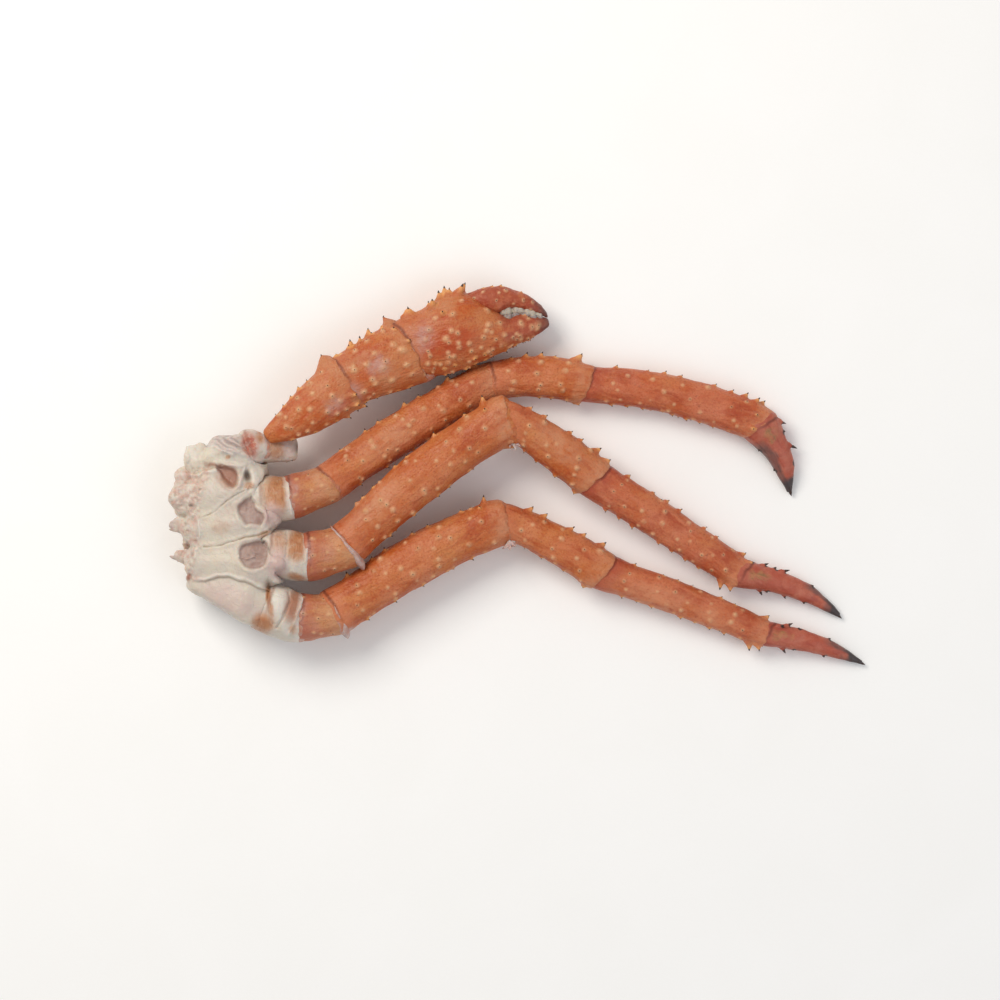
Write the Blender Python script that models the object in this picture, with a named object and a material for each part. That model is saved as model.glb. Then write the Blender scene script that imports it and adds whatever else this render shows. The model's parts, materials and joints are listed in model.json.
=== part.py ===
"""King crab leg cluster: half of the body with three walking legs and one claw.

It lies with its pale underside up. +X runs from the body to the leg tips, +Z is up, and the origin is on
the table below the middle of the cluster. Sizes are in millimetres and become metres in the functions.
"""

import math
from collections import namedtuple

import bmesh
import bpy
from mathutils import Matrix, Vector

MM = 0.001
UP = Vector((0.0, 0.0, 1.0))

# ---- driving dimensions, in millimetres ----
GAP = 0.3                 # between neighbouring pieces
LEG_SIDES = 12            # flats round a leg
PALM_SIDES = 16
LOBE_SIDES = 12
LEG_SQUARENESS = 2.3      # 2 is an ellipse, more is boxier
BODY_SQUARENESS = 3.4
RIM = 1.3                 # how far an end is rounded off
COLLAR = 0.05             # how much a piece swells just before its far rim
COLLAR_PLACE = 0.93       # the share of the piece at which it swells most
COLLAR_SPREAD = 0.06
MITRE_REACH = 0.42        # the share of a piece over which its slanted end straightens
SPINE_BASE = 1.5          # half the width of a spine's foot
SPINE_INSET = 0.3         # how far a face is first inset for one
TIP_WIDTH = 1.6           # where a toe or finger ends
SPINE_LEAN = 0.45         # how far a spine leans outwards along the limb, in spine heights
SHARP_ANGLE = 40.0        # degrees between faces from which an edge shows as an edge

Piece = namedtuple("Piece", "name joint widths bow depth spacing rows")
Row = namedtuple("Row", "angle count height first last", defaults=(0.1, 0.9))

# A row of spines runs from first to last along its piece. An angle of 0 is the piece's left edge seen
# from above, 90 its top and 180 its right edge.
MERUS_ROWS = (Row(8, 6, 4.2), Row(172, 5, 3.0))
CARPUS_ROWS = (Row(8, 4, 4.6), Row(172, 3, 2.4))
PROPODUS_ROWS = (Row(8, 6, 2.8), Row(172, 7, 2.6))
DACTYL_ROWS = (Row(8, 2, 2.6), Row(172, 2, 2.2))

# A limb starts at its first point. Each row is a shell piece: its name, the joint at its far end, its
# widths near, halfway and far, how far its middle bows to the left, its depth as a share of its width,
# the distance between its rings, and its rows of spines.
LEG_1_ROOT = (-146, -13.5, 23)
LEG_1 = (
    Piece("coxa", (-126, -13.5, 23), (24, 26, 26), 0, 1.15, 6, ()),
    Piece("ischium", (-104.5, -5, 21), (22, 23, 23), 0, 1.0, 6, ()),
    Piece("merus", (-13.5, 52.5, 10), (21, 23.5, 22.5), 2.5, 0.86, 9, MERUS_ROWS),
    Piece("carpus", (40, 50.5, 9.8), (20, 23, 22.5), 3.5, 0.86, 8, CARPUS_ROWS),
    Piece("propodus", (138, 27.5, 9.5), (21, 22.5, 23), 5.5, 0.86, 9, PROPODUS_ROWS),
    Piece("dactyl", (154.3, -9.2, 2.5), (17, 14.5, 10, TIP_WIDTH), 3, 0.8, 6, DACTYL_ROWS),
)
LEG_2_ROOT = (-140, -43, 24)
LEG_2 = (
    Piece("coxa", (-115, -46.5, 24), (26, 28, 28), 0, 1.1, 6, ()),
    Piece("ischium", (-94, -40, 25), (25, 26, 26), 0, 0.95, 6, ()),
    Piece("merus", (-5.5, 31.5, 27.5), (23, 28, 25), 4, 0.84, 9, MERUS_ROWS),
    Piece("carpus", (44, -2.5, 18), (22, 25, 26), 1.5, 0.84, 8, CARPUS_ROWS),
    Piece("propodus", (127, -56.5, 9), (23.5, 22.5, 19), 0.5, 0.84, 9, PROPODUS_ROWS),
    Piece("dactyl", (182.3, -79.2, 2.5), (15.5, 12.3, 9.5, TIP_WIDTH), 4.7, 0.85, 6, DACTYL_ROWS),
)
LEG_3_ROOT = (-142, -73.5, 22)
LEG_3 = (
    Piece("coxa", (-120.5, -80.5, 21.5), (27, 30, 29), 0, 1.05, 6, ()),
    Piece("ischium", (-100.5, -78, 20), (24, 25, 25), 0, 0.95, 6, ()),
    Piece("merus", (-6.5, -25.5, 16), (24, 28, 24), 4.3, 0.86, 9, MERUS_ROWS),
    Piece("carpus", (49, -55, 13), (20, 22, 24), 2, 0.86, 8, CARPUS_ROWS),
    Piece("propodus", (141, -90, 8), (19, 18.7, 15.5), 1.5, 0.86, 9, PROPODUS_ROWS),
    Piece("dactyl", (195.2, -106, 2.5), (13.5, 11.5, 8.5, TIP_WIDTH), 2.8, 0.85, 6, DACTYL_ROWS),
)
# The claw's arm is folded back over its short ischium, so it starts beside it and not at its end.
CLAW_BASE_ROOT = (-152, 15, 23)
CLAW_BASE = (
    Piece("coxa", (-141, 14.5, 21), (22, 21, 17), 0, 1.1, 6, ()),
    Piece("ischium", (-123.5, 14, 15), (14, 14, 13), 0, 0.95, 6, ()),
)
CLAW_ARM_ROOT = (-139, 20.5, 28.5)
CLAW_ARM = (
    Piece("merus", (-95.5, 51.2, 23), (8.5, 25, 32), -1.5, 0.8, 7, (Row(8, 5, 3.6), Row(172, 3, 2.4))),
    Piece("carpus", (-58.5, 68.5, 16.8), (27, 35, 37), 1, 0.82, 7, (Row(8, 5, 4.2), Row(172, 5, 2.4))),
)

# The hand starts at the arm's last joint. Its palm with the fixed finger, and the movable finger, are each
# a row of sections: place along and across the hand from the wrist, width and depth.
Station = namedtuple("Station", "along across width depth")
WRIST = CLAW_ARM[-1].joint
WRIST_HEADING = 12.0      # degrees from +X
PALM = (
    Station(GAP, 0.8, 30, 25), Station(9, 2.6, 36.5, 30), Station(18, 4.4, 41, 33),
    Station(26.5, 6.2, 43, 33.5), Station(35, 7.2, 41.5, 32), Station(43.5, 4, 32, 27),
    Station(52.5, 0.5, 21, 21), Station(61, -0.2, 13.5, 16), Station(69.5, -1, 10, 12.5),
    Station(77.5, -0.8, 3.5, 5),
)
PALM_RINGS = 14
PALM_ROWS = (Row(8, 4, 4.4, 0.08, 0.42), Row(172, 6, 2.0), Row(140, 4, 1.8, 0.1, 0.6))
FINGER = (
    Station(35, 24.5, 5, 9), Station(43.5, 22, 11, 15), Station(52, 18, 14.5, 17),
    Station(60.5, 15.3, 12, 15), Station(69.5, 11, 8.5, 11), Station(77.5, 4.5, 3.5, 4),
)
FINGER_RINGS = 10
FINGER_ROWS = (Row(8, 3, 2.6, 0.2, 0.75),)

# The body: a lobe of shell for each of the five limbs that a side has, from the cut middle line outwards.
Lobe = namedtuple("Lobe", "start end widths depths")
LOBES = (
    Lobe((-181, 0, 18), (-148, 13, 21), (20, 27), (24, 37)),
    Lobe((-189, -15, 17), (-146, -8, 20.5), (22, 18), (26, 43)),
    Lobe((-187, -32, 17), (-139, -24, 20.5), (16, 27), (26, 45)),
    Lobe((-184, -48.5, 17), (-135, -49, 21), (16, 29), (26, 46)),
    Lobe((-180, -59.5, 17), (-141, -74.5, 20), (11, 29), (26, 43)),
)
CORE = Lobe((-181, -28, 17), (-143, -30, 21), (64, 90), (24, 37))   # fills in between the lobes
LOBE_RINGS = 6
LOBE_TAPER = 0.8          # the size of its first and last ring against the others
TABLE_SIZE = 400.0
# Lumps along the ragged middle line: centre and radius along each axis.
LUMPS = (
    ((-179, 9, 22), (10, 8, 9)), ((-164, 15.5, 21), (9, 7, 9)), ((-188, -13, 20), (7, 12, 11)),
    ((-182, -50, 19), (6, 8, 11)), ((-178.5, -61.5, 18), (6.5, 6.5, 10)),
)
# Splinters of shell that stand out of the cut: foot, tip and foot radius.
SPLINTERS = (
    ((-184, -30, 20), (-195.2, -31, 22), 4.5), ((-183, -49, 18), (-195.2, -45.5, 20), 4.5),
)
# Thin-shelled hollows in the underside: centre and radius along each axis.
WINDOWS = (
    ((-160, -4, 43), (6.5, 6.0, 5.5)), ((-148.5, -22.5, 45.5), (7.3, 8.8, 5.5)),
    ((-147, -48, 45.8), (7.6, 8.2, 5.5)),
)


def clear_scene():
    """Start from an empty scene."""
    for old in list(bpy.data.objects):
        bpy.data.objects.remove(old, do_unlink=True)


def material(name, colour, roughness):
    """A plain food material, with its colour in linear values."""
    made = bpy.data.materials.new(name)
    made.use_nodes = True
    shader = made.node_tree.nodes["Principled BSDF"]
    shader.inputs["Base Color"].default_value = (*colour, 1.0)
    shader.inputs["Roughness"].default_value = roughness
    shader.inputs["Metallic"].default_value = 0.0
    return made


def between(values, share):
    """A smooth curve through values at even steps, read at share from 0 to 1."""
    spans = len(values) - 1
    place = min(max(share, 0.0), 1.0) * spans
    index = min(int(place), spans - 1)
    t = place - index
    a, b = values[index], values[index + 1]
    before = values[index - 1] if index else 2.0 * a - b
    after = values[index + 2] if index + 2 <= spans else 2.0 * b - a
    slope_a = (b - before) / 2.0
    slope_b = (after - a) / 2.0
    t2, t3 = t * t, t * t * t
    return ((2 * t3 - 3 * t2 + 1) * a + (t3 - 2 * t2 + t) * slope_a
            + (3 * t2 - 2 * t3) * b + (t3 - t2) * slope_b)


def ring(centre, tangent, width, depth, sides, squareness):
    """The points of a rounded section across tangent, starting on its left and going over the top."""
    left = UP.cross(tangent).normalized()
    top = tangent.cross(left).normalized()
    points = []
    for side in range(sides):
        angle = 2.0 * math.pi * side / sides
        across, over = math.cos(angle), math.sin(angle)
        across = math.copysign(abs(across) ** (2.0 / squareness), across) * width / 2.0
        over = math.copysign(abs(over) ** (2.0 / squareness), over) * depth / 2.0
        points.append(centre + left * across + top * over)
    return points


def skin(rings):
    """A closed shell over rings of points, and its faces in a grid of [ring][side]."""
    bm = bmesh.new()
    loops = [[bm.verts.new(point) for point in points] for points in rings]
    sides = len(loops[0])
    grid = []
    for near, far in zip(loops, loops[1:]):
        row = []
        for side in range(sides):
            after = (side + 1) % sides
            row.append(bm.faces.new((near[side], near[after], far[after], far[side])))
        grid.append(row)
    bm.faces.new(reversed(loops[0]))
    bm.faces.new(loops[-1])
    bm.normal_update()
    return bm, grid


def grow_spine(bm, face, height, along):
    """Inset a face to a small foot and draw its middle out to a leaning point."""
    centre = face.calc_center_median()
    bmesh.ops.inset_individual(bm, faces=[face], thickness=SPINE_INSET * MM)
    for vert in face.verts:
        vert.co = centre + (vert.co - centre).normalized() * SPINE_BASE * MM
    tip = bmesh.ops.poke(bm, faces=[face], offset=height)["verts"][0]
    tip.co += along * height * SPINE_LEAN


def add_spines(bm, grid, rows):
    """Rows of spines at even steps along a shell, clear of its rims."""
    sides = len(grid[0])
    for row in rows:
        side = int(row.angle / 360.0 * sides) % sides
        used = set()
        for number in range(row.count):
            share = row.first + (row.last - row.first) * (number + 0.5) / row.count
            index = 1 + int(share * (len(grid) - 3))
            if index in used:
                continue
            used.add(index)
            face = grid[index][side]
            along = (grid[index + 1][side].calc_center_median() - face.calc_center_median()).normalized()
            grow_spine(bm, face, row.height * MM, along)


def rest_on_table(bm, place):
    """Flatten what would reach below the table."""
    back = place.inverted()
    for vert in bm.verts:
        world = place @ vert.co
        if world.z < 0.0:
            world.z = 0.0
            vert.co = back @ world


def finish(bm, name, place, parent, finish_material, flatten=True):
    """Turn a bmesh in its own frame into a named object that stands at place."""
    bmesh.ops.recalc_face_normals(bm, faces=bm.faces)
    if flatten:
        rest_on_table(bm, place)
    mesh = bpy.data.meshes.new(name)
    bm.to_mesh(mesh)
    bm.free()
    mesh.shade_smooth()
    mesh.set_sharp_from_angle(angle=math.radians(SHARP_ANGLE))
    made = bpy.data.objects.new(name, mesh)
    bpy.context.collection.objects.link(made)
    mesh.materials.append(finish_material)
    made.parent = parent
    made.matrix_local = Matrix.Translation(-parent.location) @ place if parent else place
    return made


def holder(name, point):
    """An empty that a limb hangs on."""
    made = bpy.data.objects.new(name, None)
    made.location = Vector(point) * MM
    bpy.context.collection.objects.link(made)
    return made


def chord_frame(near, far):
    """The frame at near with +X towards far and its Y level."""
    heading = (far - near).normalized()
    left = UP.cross(heading).normalized()
    top = heading.cross(left)
    turn = Matrix((heading, left, top)).transposed().to_4x4()
    return Matrix.Translation(near) @ turn


def joint_normals(points, last_normal):
    """The direction across which the neighbouring pieces meet, at each joint along a limb."""
    headings = [(far - near).normalized() for near, far in zip(points, points[1:])]
    halfway = [(before + after).normalized() for before, after in zip(headings, headings[1:])]
    return [headings[0], *halfway, last_normal or headings[-1]]


def piece_rings(piece, length, normals, grow):
    """Rings of a limb piece along +X, slanted at both ends to meet its neighbours."""
    near_cut = (GAP / 2.0 - grow) * MM
    span = length - 2.0 * near_cut
    rim = RIM * MM / span
    count = max(3, round(length / MM / piece.spacing))
    shares = [0.0, rim] + [rim + (1.0 - 2.0 * rim) * step / count for step in range(1, count)]
    shares += [1.0 - rim, 1.0]
    bow = 4.0 * piece.bow * MM
    rings = []
    for share in shares:
        centre = Vector((near_cut + span * share, bow * share * (1.0 - share), 0.0))
        tangent = Vector((length, bow * (1.0 - 2.0 * share), 0.0)).normalized()
        swell = COLLAR * math.exp(-((share - COLLAR_PLACE) / COLLAR_SPREAD) ** 2)
        width = between(piece.widths, share) * (1.0 + swell)
        if share in (0.0, 1.0) and piece.widths[-1] > TIP_WIDTH:
            width -= RIM
        width += 2.0 * grow
        points = ring(centre, tangent, width * MM, width * piece.depth * MM, LEG_SIDES, LEG_SQUARENESS)
        for end, normal in enumerate(normals):
            weight = max(0.0, 1.0 - abs(share - end) / MITRE_REACH)
            for point in points:
                arm = point - centre
                point -= tangent * (arm.dot(normal) / tangent.dot(normal)) * weight
        rings.append(points)
    return rings


def make_limb(limb, root, pieces, shells, last_normal=None):
    """Every shell piece of one limb, and the empty that carries them."""
    carrier = holder(limb + "_root", root)
    points = [Vector(root) * MM] + [Vector(piece.joint) * MM for piece in pieces]
    normals = joint_normals(points, last_normal)
    for index, piece in enumerate(pieces):
        near, far = points[index], points[index + 1]
        place = chord_frame(near, far)
        turn_back = place.to_3x3().transposed()
        ends = [turn_back @ normals[index], turn_back @ normals[index + 1]]
        bm, grid = skin(piece_rings(piece, (far - near).length, ends, 0.0))
        add_spines(bm, grid, piece.rows)
        finish(bm, limb + "_" + piece.name, place, carrier, shells[piece.name])


def socket_cutter(limb, root, piece, shell):
    """The space that a limb's first piece takes out of the body, a gap wider than the piece."""
    near, far = Vector(root) * MM, Vector(piece.joint) * MM
    place = chord_frame(near, far)
    normals = [Vector((1.0, 0.0, 0.0))] * 2
    bm, _ = skin(piece_rings(piece, (far - near).length, normals, GAP * 1.5))
    cutter = finish(bm, limb + "_socket", place, None, shell)
    return hidden(cutter)


def hidden(tool):
    """Mark an object as a tool for a Boolean."""
    tool.hide_render = True
    tool.display_type = "WIRE"
    return tool


def station_rings(stations, rings, sides, grow):
    """Rings along a smooth curve through stations."""
    made = []
    for step in range(rings):
        share = step / (rings - 1)
        along, across, width, depth = (between(column, share) for column in zip(*stations))
        centre = Vector((along, across, 0.0)) * MM
        width, depth = (width + 2.0 * grow) * MM, (depth + 2.0 * grow) * MM
        made.append(ring(centre, Vector((1.0, 0.0, 0.0)), width, depth, sides, LEG_SQUARENESS))
    return made


def make_hand(shell):
    """The claw's palm with its fixed finger, and the movable finger that closes on it."""
    place = Matrix.Translation(Vector(WRIST) * MM) @ Matrix.Rotation(math.radians(WRIST_HEADING), 4, "Z")
    carrier = holder("claw_wrist", WRIST)
    bm, grid = skin(station_rings(PALM, PALM_RINGS, PALM_SIDES, 0.0))
    add_spines(bm, grid, PALM_ROWS)
    finish(bm, "claw_palm", place, carrier, shell)
    bm, grid = skin(station_rings(FINGER, FINGER_RINGS, LEG_SIDES, 0.0))
    add_spines(bm, grid, FINGER_ROWS)
    finger = finish(bm, "claw_finger", place, carrier, shell)
    bm, _ = skin(station_rings(PALM, PALM_RINGS, PALM_SIDES, GAP))
    cut(finger, hidden(finish(bm, "palm_clearance", place, carrier, shell)), "DIFFERENCE")


def cut(target, tool, operation):
    """Add one Boolean to target."""
    boolean = target.modifiers.new(tool.name, "BOOLEAN")
    boolean.object = tool
    boolean.operation = operation
    boolean.solver = "EXACT"


def ellipsoid(name, centre, radii, shell, segments=12, rings=7):
    """A ball stretched to radii, with its size in its mesh."""
    bm = bmesh.new()
    stretch = Matrix.Diagonal((*(radius * MM for radius in radii), 1.0))
    bmesh.ops.create_uvsphere(bm, u_segments=segments, v_segments=rings, radius=1.0, matrix=stretch)
    return finish(bm, name, Matrix.Translation(Vector(centre) * MM), None, shell, flatten=False)


def splinter(name, foot, tip, radius, shell):
    """A pointed flake of shell."""
    foot, tip = Vector(foot) * MM, Vector(tip) * MM
    bm = bmesh.new()
    length = (tip - foot).length
    bmesh.ops.create_cone(bm, cap_ends=True, segments=8, radius1=radius * MM, radius2=TIP_WIDTH / 2.0 * MM,
                          depth=length, matrix=Matrix.Translation((0.0, 0.0, length / 2.0)))
    turn = (tip - foot).to_track_quat("Z", "Y").to_matrix().to_4x4()
    return finish(bm, name, Matrix.Translation(foot) @ turn, None, shell)


def table(shell):
    """A slab below the origin that cuts the body's flat resting face."""
    bm = bmesh.new()
    bmesh.ops.create_cube(bm, size=TABLE_SIZE * MM)
    sunk = Matrix.Translation((LOBES[0].start[0] * MM, 0.0, -TABLE_SIZE / 2.0 * MM))
    return hidden(finish(bm, "table", sunk, None, shell, flatten=False))


def lobe_rings(lobe):
    """Rings of one body lobe, with both ends rounded off."""
    start, end = Vector(lobe.start), Vector(lobe.end)
    heading = (end - start).normalized()
    made = []
    for step in range(LOBE_RINGS):
        share = step / (LOBE_RINGS - 1)
        width = lobe.widths[0] + (lobe.widths[1] - lobe.widths[0]) * share
        depth = lobe.depths[0] + (lobe.depths[1] - lobe.depths[0]) * math.sin(share * math.pi / 2.0)
        if step in (0, LOBE_RINGS - 1):
            width *= LOBE_TAPER
            depth *= LOBE_TAPER
        centre = start + (end - start) * share
        made.append(ring(centre * MM, heading, width * MM, depth * MM, LOBE_SIDES, BODY_SQUARENESS))
    return made


def make_body(shell, limbs):
    """The half body: lobes, lumps and splinters joined, with windows and limb sockets cut out."""
    identity = Matrix.Identity(4)
    lobes = []
    for number, lobe in enumerate((*LOBES, CORE)):
        bm, _ = skin(lobe_rings(lobe))
        lobes.append(finish(bm, "lobe_%d" % number, identity, None, shell, flatten=False))
    body = lobes[2]
    body.name = "body_section"
    joined = [lobe for lobe in lobes if lobe is not body]
    joined += [ellipsoid("lump_%d" % n, centre, radii, shell) for n, (centre, radii) in enumerate(LUMPS)]
    joined += [splinter("splinter_%d" % n, *shape, shell) for n, shape in enumerate(SPLINTERS)]
    for tool in joined:
        cut(body, hidden(tool), "UNION")
    for number, (centre, radii) in enumerate(WINDOWS):
        cut(body, hidden(ellipsoid("window_%d" % number, centre, radii, shell)), "DIFFERENCE")
    for limb, root, pieces in limbs:
        cut(body, socket_cutter(limb, root, pieces[0], shell), "DIFFERENCE")
    cut(body, table(shell), "DIFFERENCE")


def main():
    clear_scene()
    red = material("cooked red shell", (0.56, 0.15, 0.075), 0.38)
    deep_red = material("deep red toe shell", (0.46, 0.085, 0.06), 0.35)
    tan = material("tan inner shell", (0.57, 0.26, 0.12), 0.4)
    pale = material("pale underside shell", (0.66, 0.58, 0.5), 0.45)
    shells = {"coxa": tan, "ischium": tan, "merus": red, "carpus": red, "propodus": red, "dactyl": deep_red}
    limbs = (
        ("leg_1", LEG_1_ROOT, LEG_1), ("leg_2", LEG_2_ROOT, LEG_2), ("leg_3", LEG_3_ROOT, LEG_3),
        ("claw", CLAW_BASE_ROOT, CLAW_BASE),
    )
    for limb, root, pieces in limbs:
        make_limb(limb, root, pieces, shells)
    across_wrist = Matrix.Rotation(math.radians(WRIST_HEADING), 3, "Z") @ Vector((1.0, 0.0, 0.0))
    make_limb("claw", CLAW_ARM_ROOT, CLAW_ARM, shells, across_wrist)
    make_hand(red)
    make_body(pale, limbs)


main()
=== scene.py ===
# %% [markdown]
# # A cooked king crab cluster
# Half of a king crab's body with three walking legs and one claw, lying with its pale underside up. The
# plain model gives every limb piece its size and place. Here each piece gets its real skin: spines with
# horny points, cream tubercles, lips where one shell slides into the next, and the finish of boiled shell.

import itertools
import json
import math
import random

import bmesh
import bpy
import numpy as np
from mathutils import Matrix, Vector
from mathutils.bvhtree import BVHTree

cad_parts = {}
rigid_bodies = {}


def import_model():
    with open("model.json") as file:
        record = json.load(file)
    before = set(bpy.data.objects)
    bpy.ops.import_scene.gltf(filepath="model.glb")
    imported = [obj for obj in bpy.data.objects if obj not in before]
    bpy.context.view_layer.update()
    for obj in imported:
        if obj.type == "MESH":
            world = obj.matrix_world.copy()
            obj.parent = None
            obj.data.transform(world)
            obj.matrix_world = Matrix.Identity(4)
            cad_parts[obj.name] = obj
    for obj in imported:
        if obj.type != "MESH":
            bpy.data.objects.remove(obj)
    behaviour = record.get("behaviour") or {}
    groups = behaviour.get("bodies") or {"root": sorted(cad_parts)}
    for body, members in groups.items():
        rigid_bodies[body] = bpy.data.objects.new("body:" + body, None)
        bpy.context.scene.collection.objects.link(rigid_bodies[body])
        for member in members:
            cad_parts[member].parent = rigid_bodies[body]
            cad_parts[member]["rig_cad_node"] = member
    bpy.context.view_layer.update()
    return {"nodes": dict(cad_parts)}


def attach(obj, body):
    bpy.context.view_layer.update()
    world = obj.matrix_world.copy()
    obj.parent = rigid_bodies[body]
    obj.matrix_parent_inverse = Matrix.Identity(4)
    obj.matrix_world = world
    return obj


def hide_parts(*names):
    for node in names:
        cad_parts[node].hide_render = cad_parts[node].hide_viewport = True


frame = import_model()
MM = 0.001

# %% [markdown]
# ## Light, table and camera
# Food looks best under a large soft light, in which the wet shell shows broad, gentle highlights. A big
# area light high on the left is the window, a weaker one on the right opens the shadows, and an even pale
# sky fills the rest. The camera hangs three metres above the table and looks straight down.


# %% Camera and table
def select_only(piece):
    """Leave one object selected and active, since an operator acts on all that is selected."""
    bpy.ops.object.select_all(action="DESELECT")
    piece.select_set(True)
    bpy.context.view_layer.objects.active = piece


def linear(code):
    """An sRGB hex colour in the linear values that shaders use."""
    values = [int(code[place:place + 2], 16) / 255.0 for place in (1, 3, 5)]
    return [v / 12.92 if v <= 0.04045 else ((v + 0.055) / 1.055) ** 2.4 for v in values] + [1.0]


SEEN_WIDTH = 0.560        # how much of the table the camera sees at the height of the legs
LEG_HEIGHT = 0.020
CAMERA_HEIGHT = 3.0
SENSOR = 36.0
TABLE_SIZE = 6.0
TABLE_GAP = 0.0002        # keeps the table just clear of the lowest shell
view_centre = Vector((-0.0087, -0.0143, LEG_HEIGHT))
bpy.ops.object.camera_add(location=view_centre + Vector((0.0, 0.0, CAMERA_HEIGHT - LEG_HEIGHT)))
camera = bpy.context.active_object
camera.rotation_euler = (0.0, 0.0, 0.0)
camera.data.sensor_width = SENSOR
camera.data.lens = SENSOR * (CAMERA_HEIGHT - LEG_HEIGHT) / SEEN_WIDTH
bpy.context.scene.camera = camera
bpy.context.scene.view_settings.view_transform = "Standard"

bpy.ops.mesh.primitive_plane_add(size=TABLE_SIZE, location=(0.0, 0.0, -TABLE_GAP))
table = bpy.context.active_object
table.name = "table"
print("lens in mm:", round(camera.data.lens, 1))


# %% Lights
def soft_light(name, place, size, power, colour):
    """A square area light that looks at the middle of the table."""
    bpy.ops.object.light_add(type="AREA", location=place)
    light = bpy.context.active_object
    light.name = name
    light.data.size = size
    light.data.energy = power
    light.data.color = linear(colour)[:3]
    light.rotation_euler = (-Vector(place)).to_track_quat("-Z", "Y").to_euler()


soft_light("window", (-0.75, 0.75, 1.15), 0.8, 15.0, "#FFF8EE")
soft_light("fill", (1.1, -0.6, 1.3), 1.4, 7.0, "#F4F6FF")
world = bpy.data.worlds.new("studio")
bpy.context.scene.world = world
world.use_nodes = True
sky = world.node_tree.nodes["Background"].inputs
sky["Color"].default_value = linear("#F2F2F0")
sky["Strength"].default_value = 0.55
print("lights:", len(bpy.data.lights))


# %% [markdown]
# ## Tools for working a shell
# A crab's shell is a tube that was once soft, so it has no flat faces. Each plain piece is copied, its
# corners are welded, and the pointed spines are dissolved. Subdivision rounds it, and a voxel remesh
# gives an even skin of small quads, as a sculptor would want, on which spines and lips can be raised.


# %% Small helpers
def apply_modifier(piece, kind, **settings):
    """Add one modifier with its settings and apply it."""
    modifier = piece.modifiers.new(kind.lower(), kind)
    for name, value in settings.items():
        setattr(modifier, name, value)
    select_only(piece)
    bpy.ops.object.modifier_apply(modifier=modifier.name)


def points_of(piece, what="co"):
    """The places of a mesh's corners as rows of x, y and z."""
    rows = np.empty(len(piece.data.vertices) * 3, np.float32)
    piece.data.vertices.foreach_get(what, rows)
    return rows.reshape(-1, 3).astype(float)


def outward(piece):
    """The direction in which the surface faces at each corner."""
    return points_of(piece, "normal")


def move_points(piece, points):
    """Put a mesh's corners at new places."""
    piece.data.vertices.foreach_set("co", points.astype(np.float32).ravel())
    piece.data.update()


def paint(piece, name, values):
    """Keep a number for each corner, from 0 to 1, for the finishes to read."""
    layer = piece.data.attributes.new(name, "FLOAT", "POINT")
    layer.data.foreach_set("value", np.clip(values, 0.0, 1.0).astype(np.float32))


# %% Smooth steps and random drifts
LATTICE = 24              # random numbers along each side of the block that a drift is drawn from


def ease(values):
    """0 below 0, 1 above 1, and a smooth step between."""
    values = np.clip(values, 0.0, 1.0)
    return values * values * (3.0 - 2.0 * values)


def hump(values, width):
    """1 where values are 0, and falling off past width on both sides."""
    return np.exp(-(values / width) ** 2)


def unit(way):
    """A direction made one long."""
    return way / np.linalg.norm(way)


def drift(points, size, seed):
    """Smooth random swells about size metres wide, from -1 to 1, the same on each run."""
    lattice = np.random.RandomState(seed).uniform(-1.0, 1.0, (LATTICE,) * 3)
    spots = points / size + 1000.0
    first = np.floor(spots).astype(int)
    share = ease(spots - first)
    total = np.zeros(len(points))
    for corner in itertools.product((0, 1), repeat=3):
        weight = np.prod(np.where(corner, share, 1.0 - share), axis=1)
        cell = (first + corner) % LATTICE
        total += weight * lattice[cell[:, 0], cell[:, 1], cell[:, 2]]
    return total


def drift_pair(points, size, seed):
    """Two drifts side by side, to move places sideways."""
    return np.stack([drift(points, size, seed), drift(points, size, seed + 1)], axis=1)


# %% Copy a plain piece
SPINE_FOOT = 1.8 * MM     # the plain spines stand on a square foot no wider than this
SPINE_LEAST = 1.0 * MM
WELD = 0.01 * MM


def plain_copy(node, name):
    """A welded copy of a plain piece without its spines, and the foot and tip of each spine it had."""
    select_only(frame["nodes"][node])
    bpy.ops.object.duplicate()
    piece = bpy.context.active_object
    piece.name = piece.data.name = name
    del piece["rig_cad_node"]
    bpy.ops.object.mode_set(mode="EDIT")
    bpy.ops.mesh.select_mode(type="VERT")
    bpy.ops.mesh.select_all(action="SELECT")
    bpy.ops.mesh.remove_doubles(threshold=WELD)
    bpy.ops.mesh.customdata_custom_splitnormals_clear()
    bpy.ops.mesh.select_all(action="DESELECT")
    bpy.ops.object.mode_set(mode="OBJECT")
    spines = []
    look = bmesh.new()
    look.from_mesh(piece.data)
    for vert in look.verts:
        around = [edge.other_vert(vert).co for edge in vert.link_edges]
        foot = sum(around, Vector()) / len(around)
        stands = len(around) == 4 and (vert.co - foot).length > SPINE_LEAST
        if stands and max((point - foot).length for point in around) < SPINE_FOOT:
            spines.append((foot.copy(), vert.co.copy()))
            piece.data.vertices[vert.index].select = True
    look.free()
    bpy.ops.object.mode_set(mode="EDIT")
    if spines:
        bpy.ops.mesh.dissolve_verts()
    bpy.ops.mesh.select_all(action="SELECT")
    bpy.ops.mesh.tris_convert_to_quads()
    bpy.ops.object.mode_set(mode="OBJECT")
    return piece, spines


# %% [markdown]
# ## One spine
# A king crab's spine is a cone with a flared foot that runs into the shell, and a hard dark point. It is
# extruded from a circle, each step drawn in, and its horny point is modelled apart, since it has another
# finish. Both are one unit wide and high, so that a copy can be given any size.


# %% Model a spine and its point
def face_outward():
    """Turn every face of the closed mesh that is being edited to the outside, and stop editing."""
    bpy.ops.mesh.select_all(action="SELECT")
    bpy.ops.mesh.normals_make_consistent(inside=False)
    bpy.ops.object.mode_set(mode="OBJECT")


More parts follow.
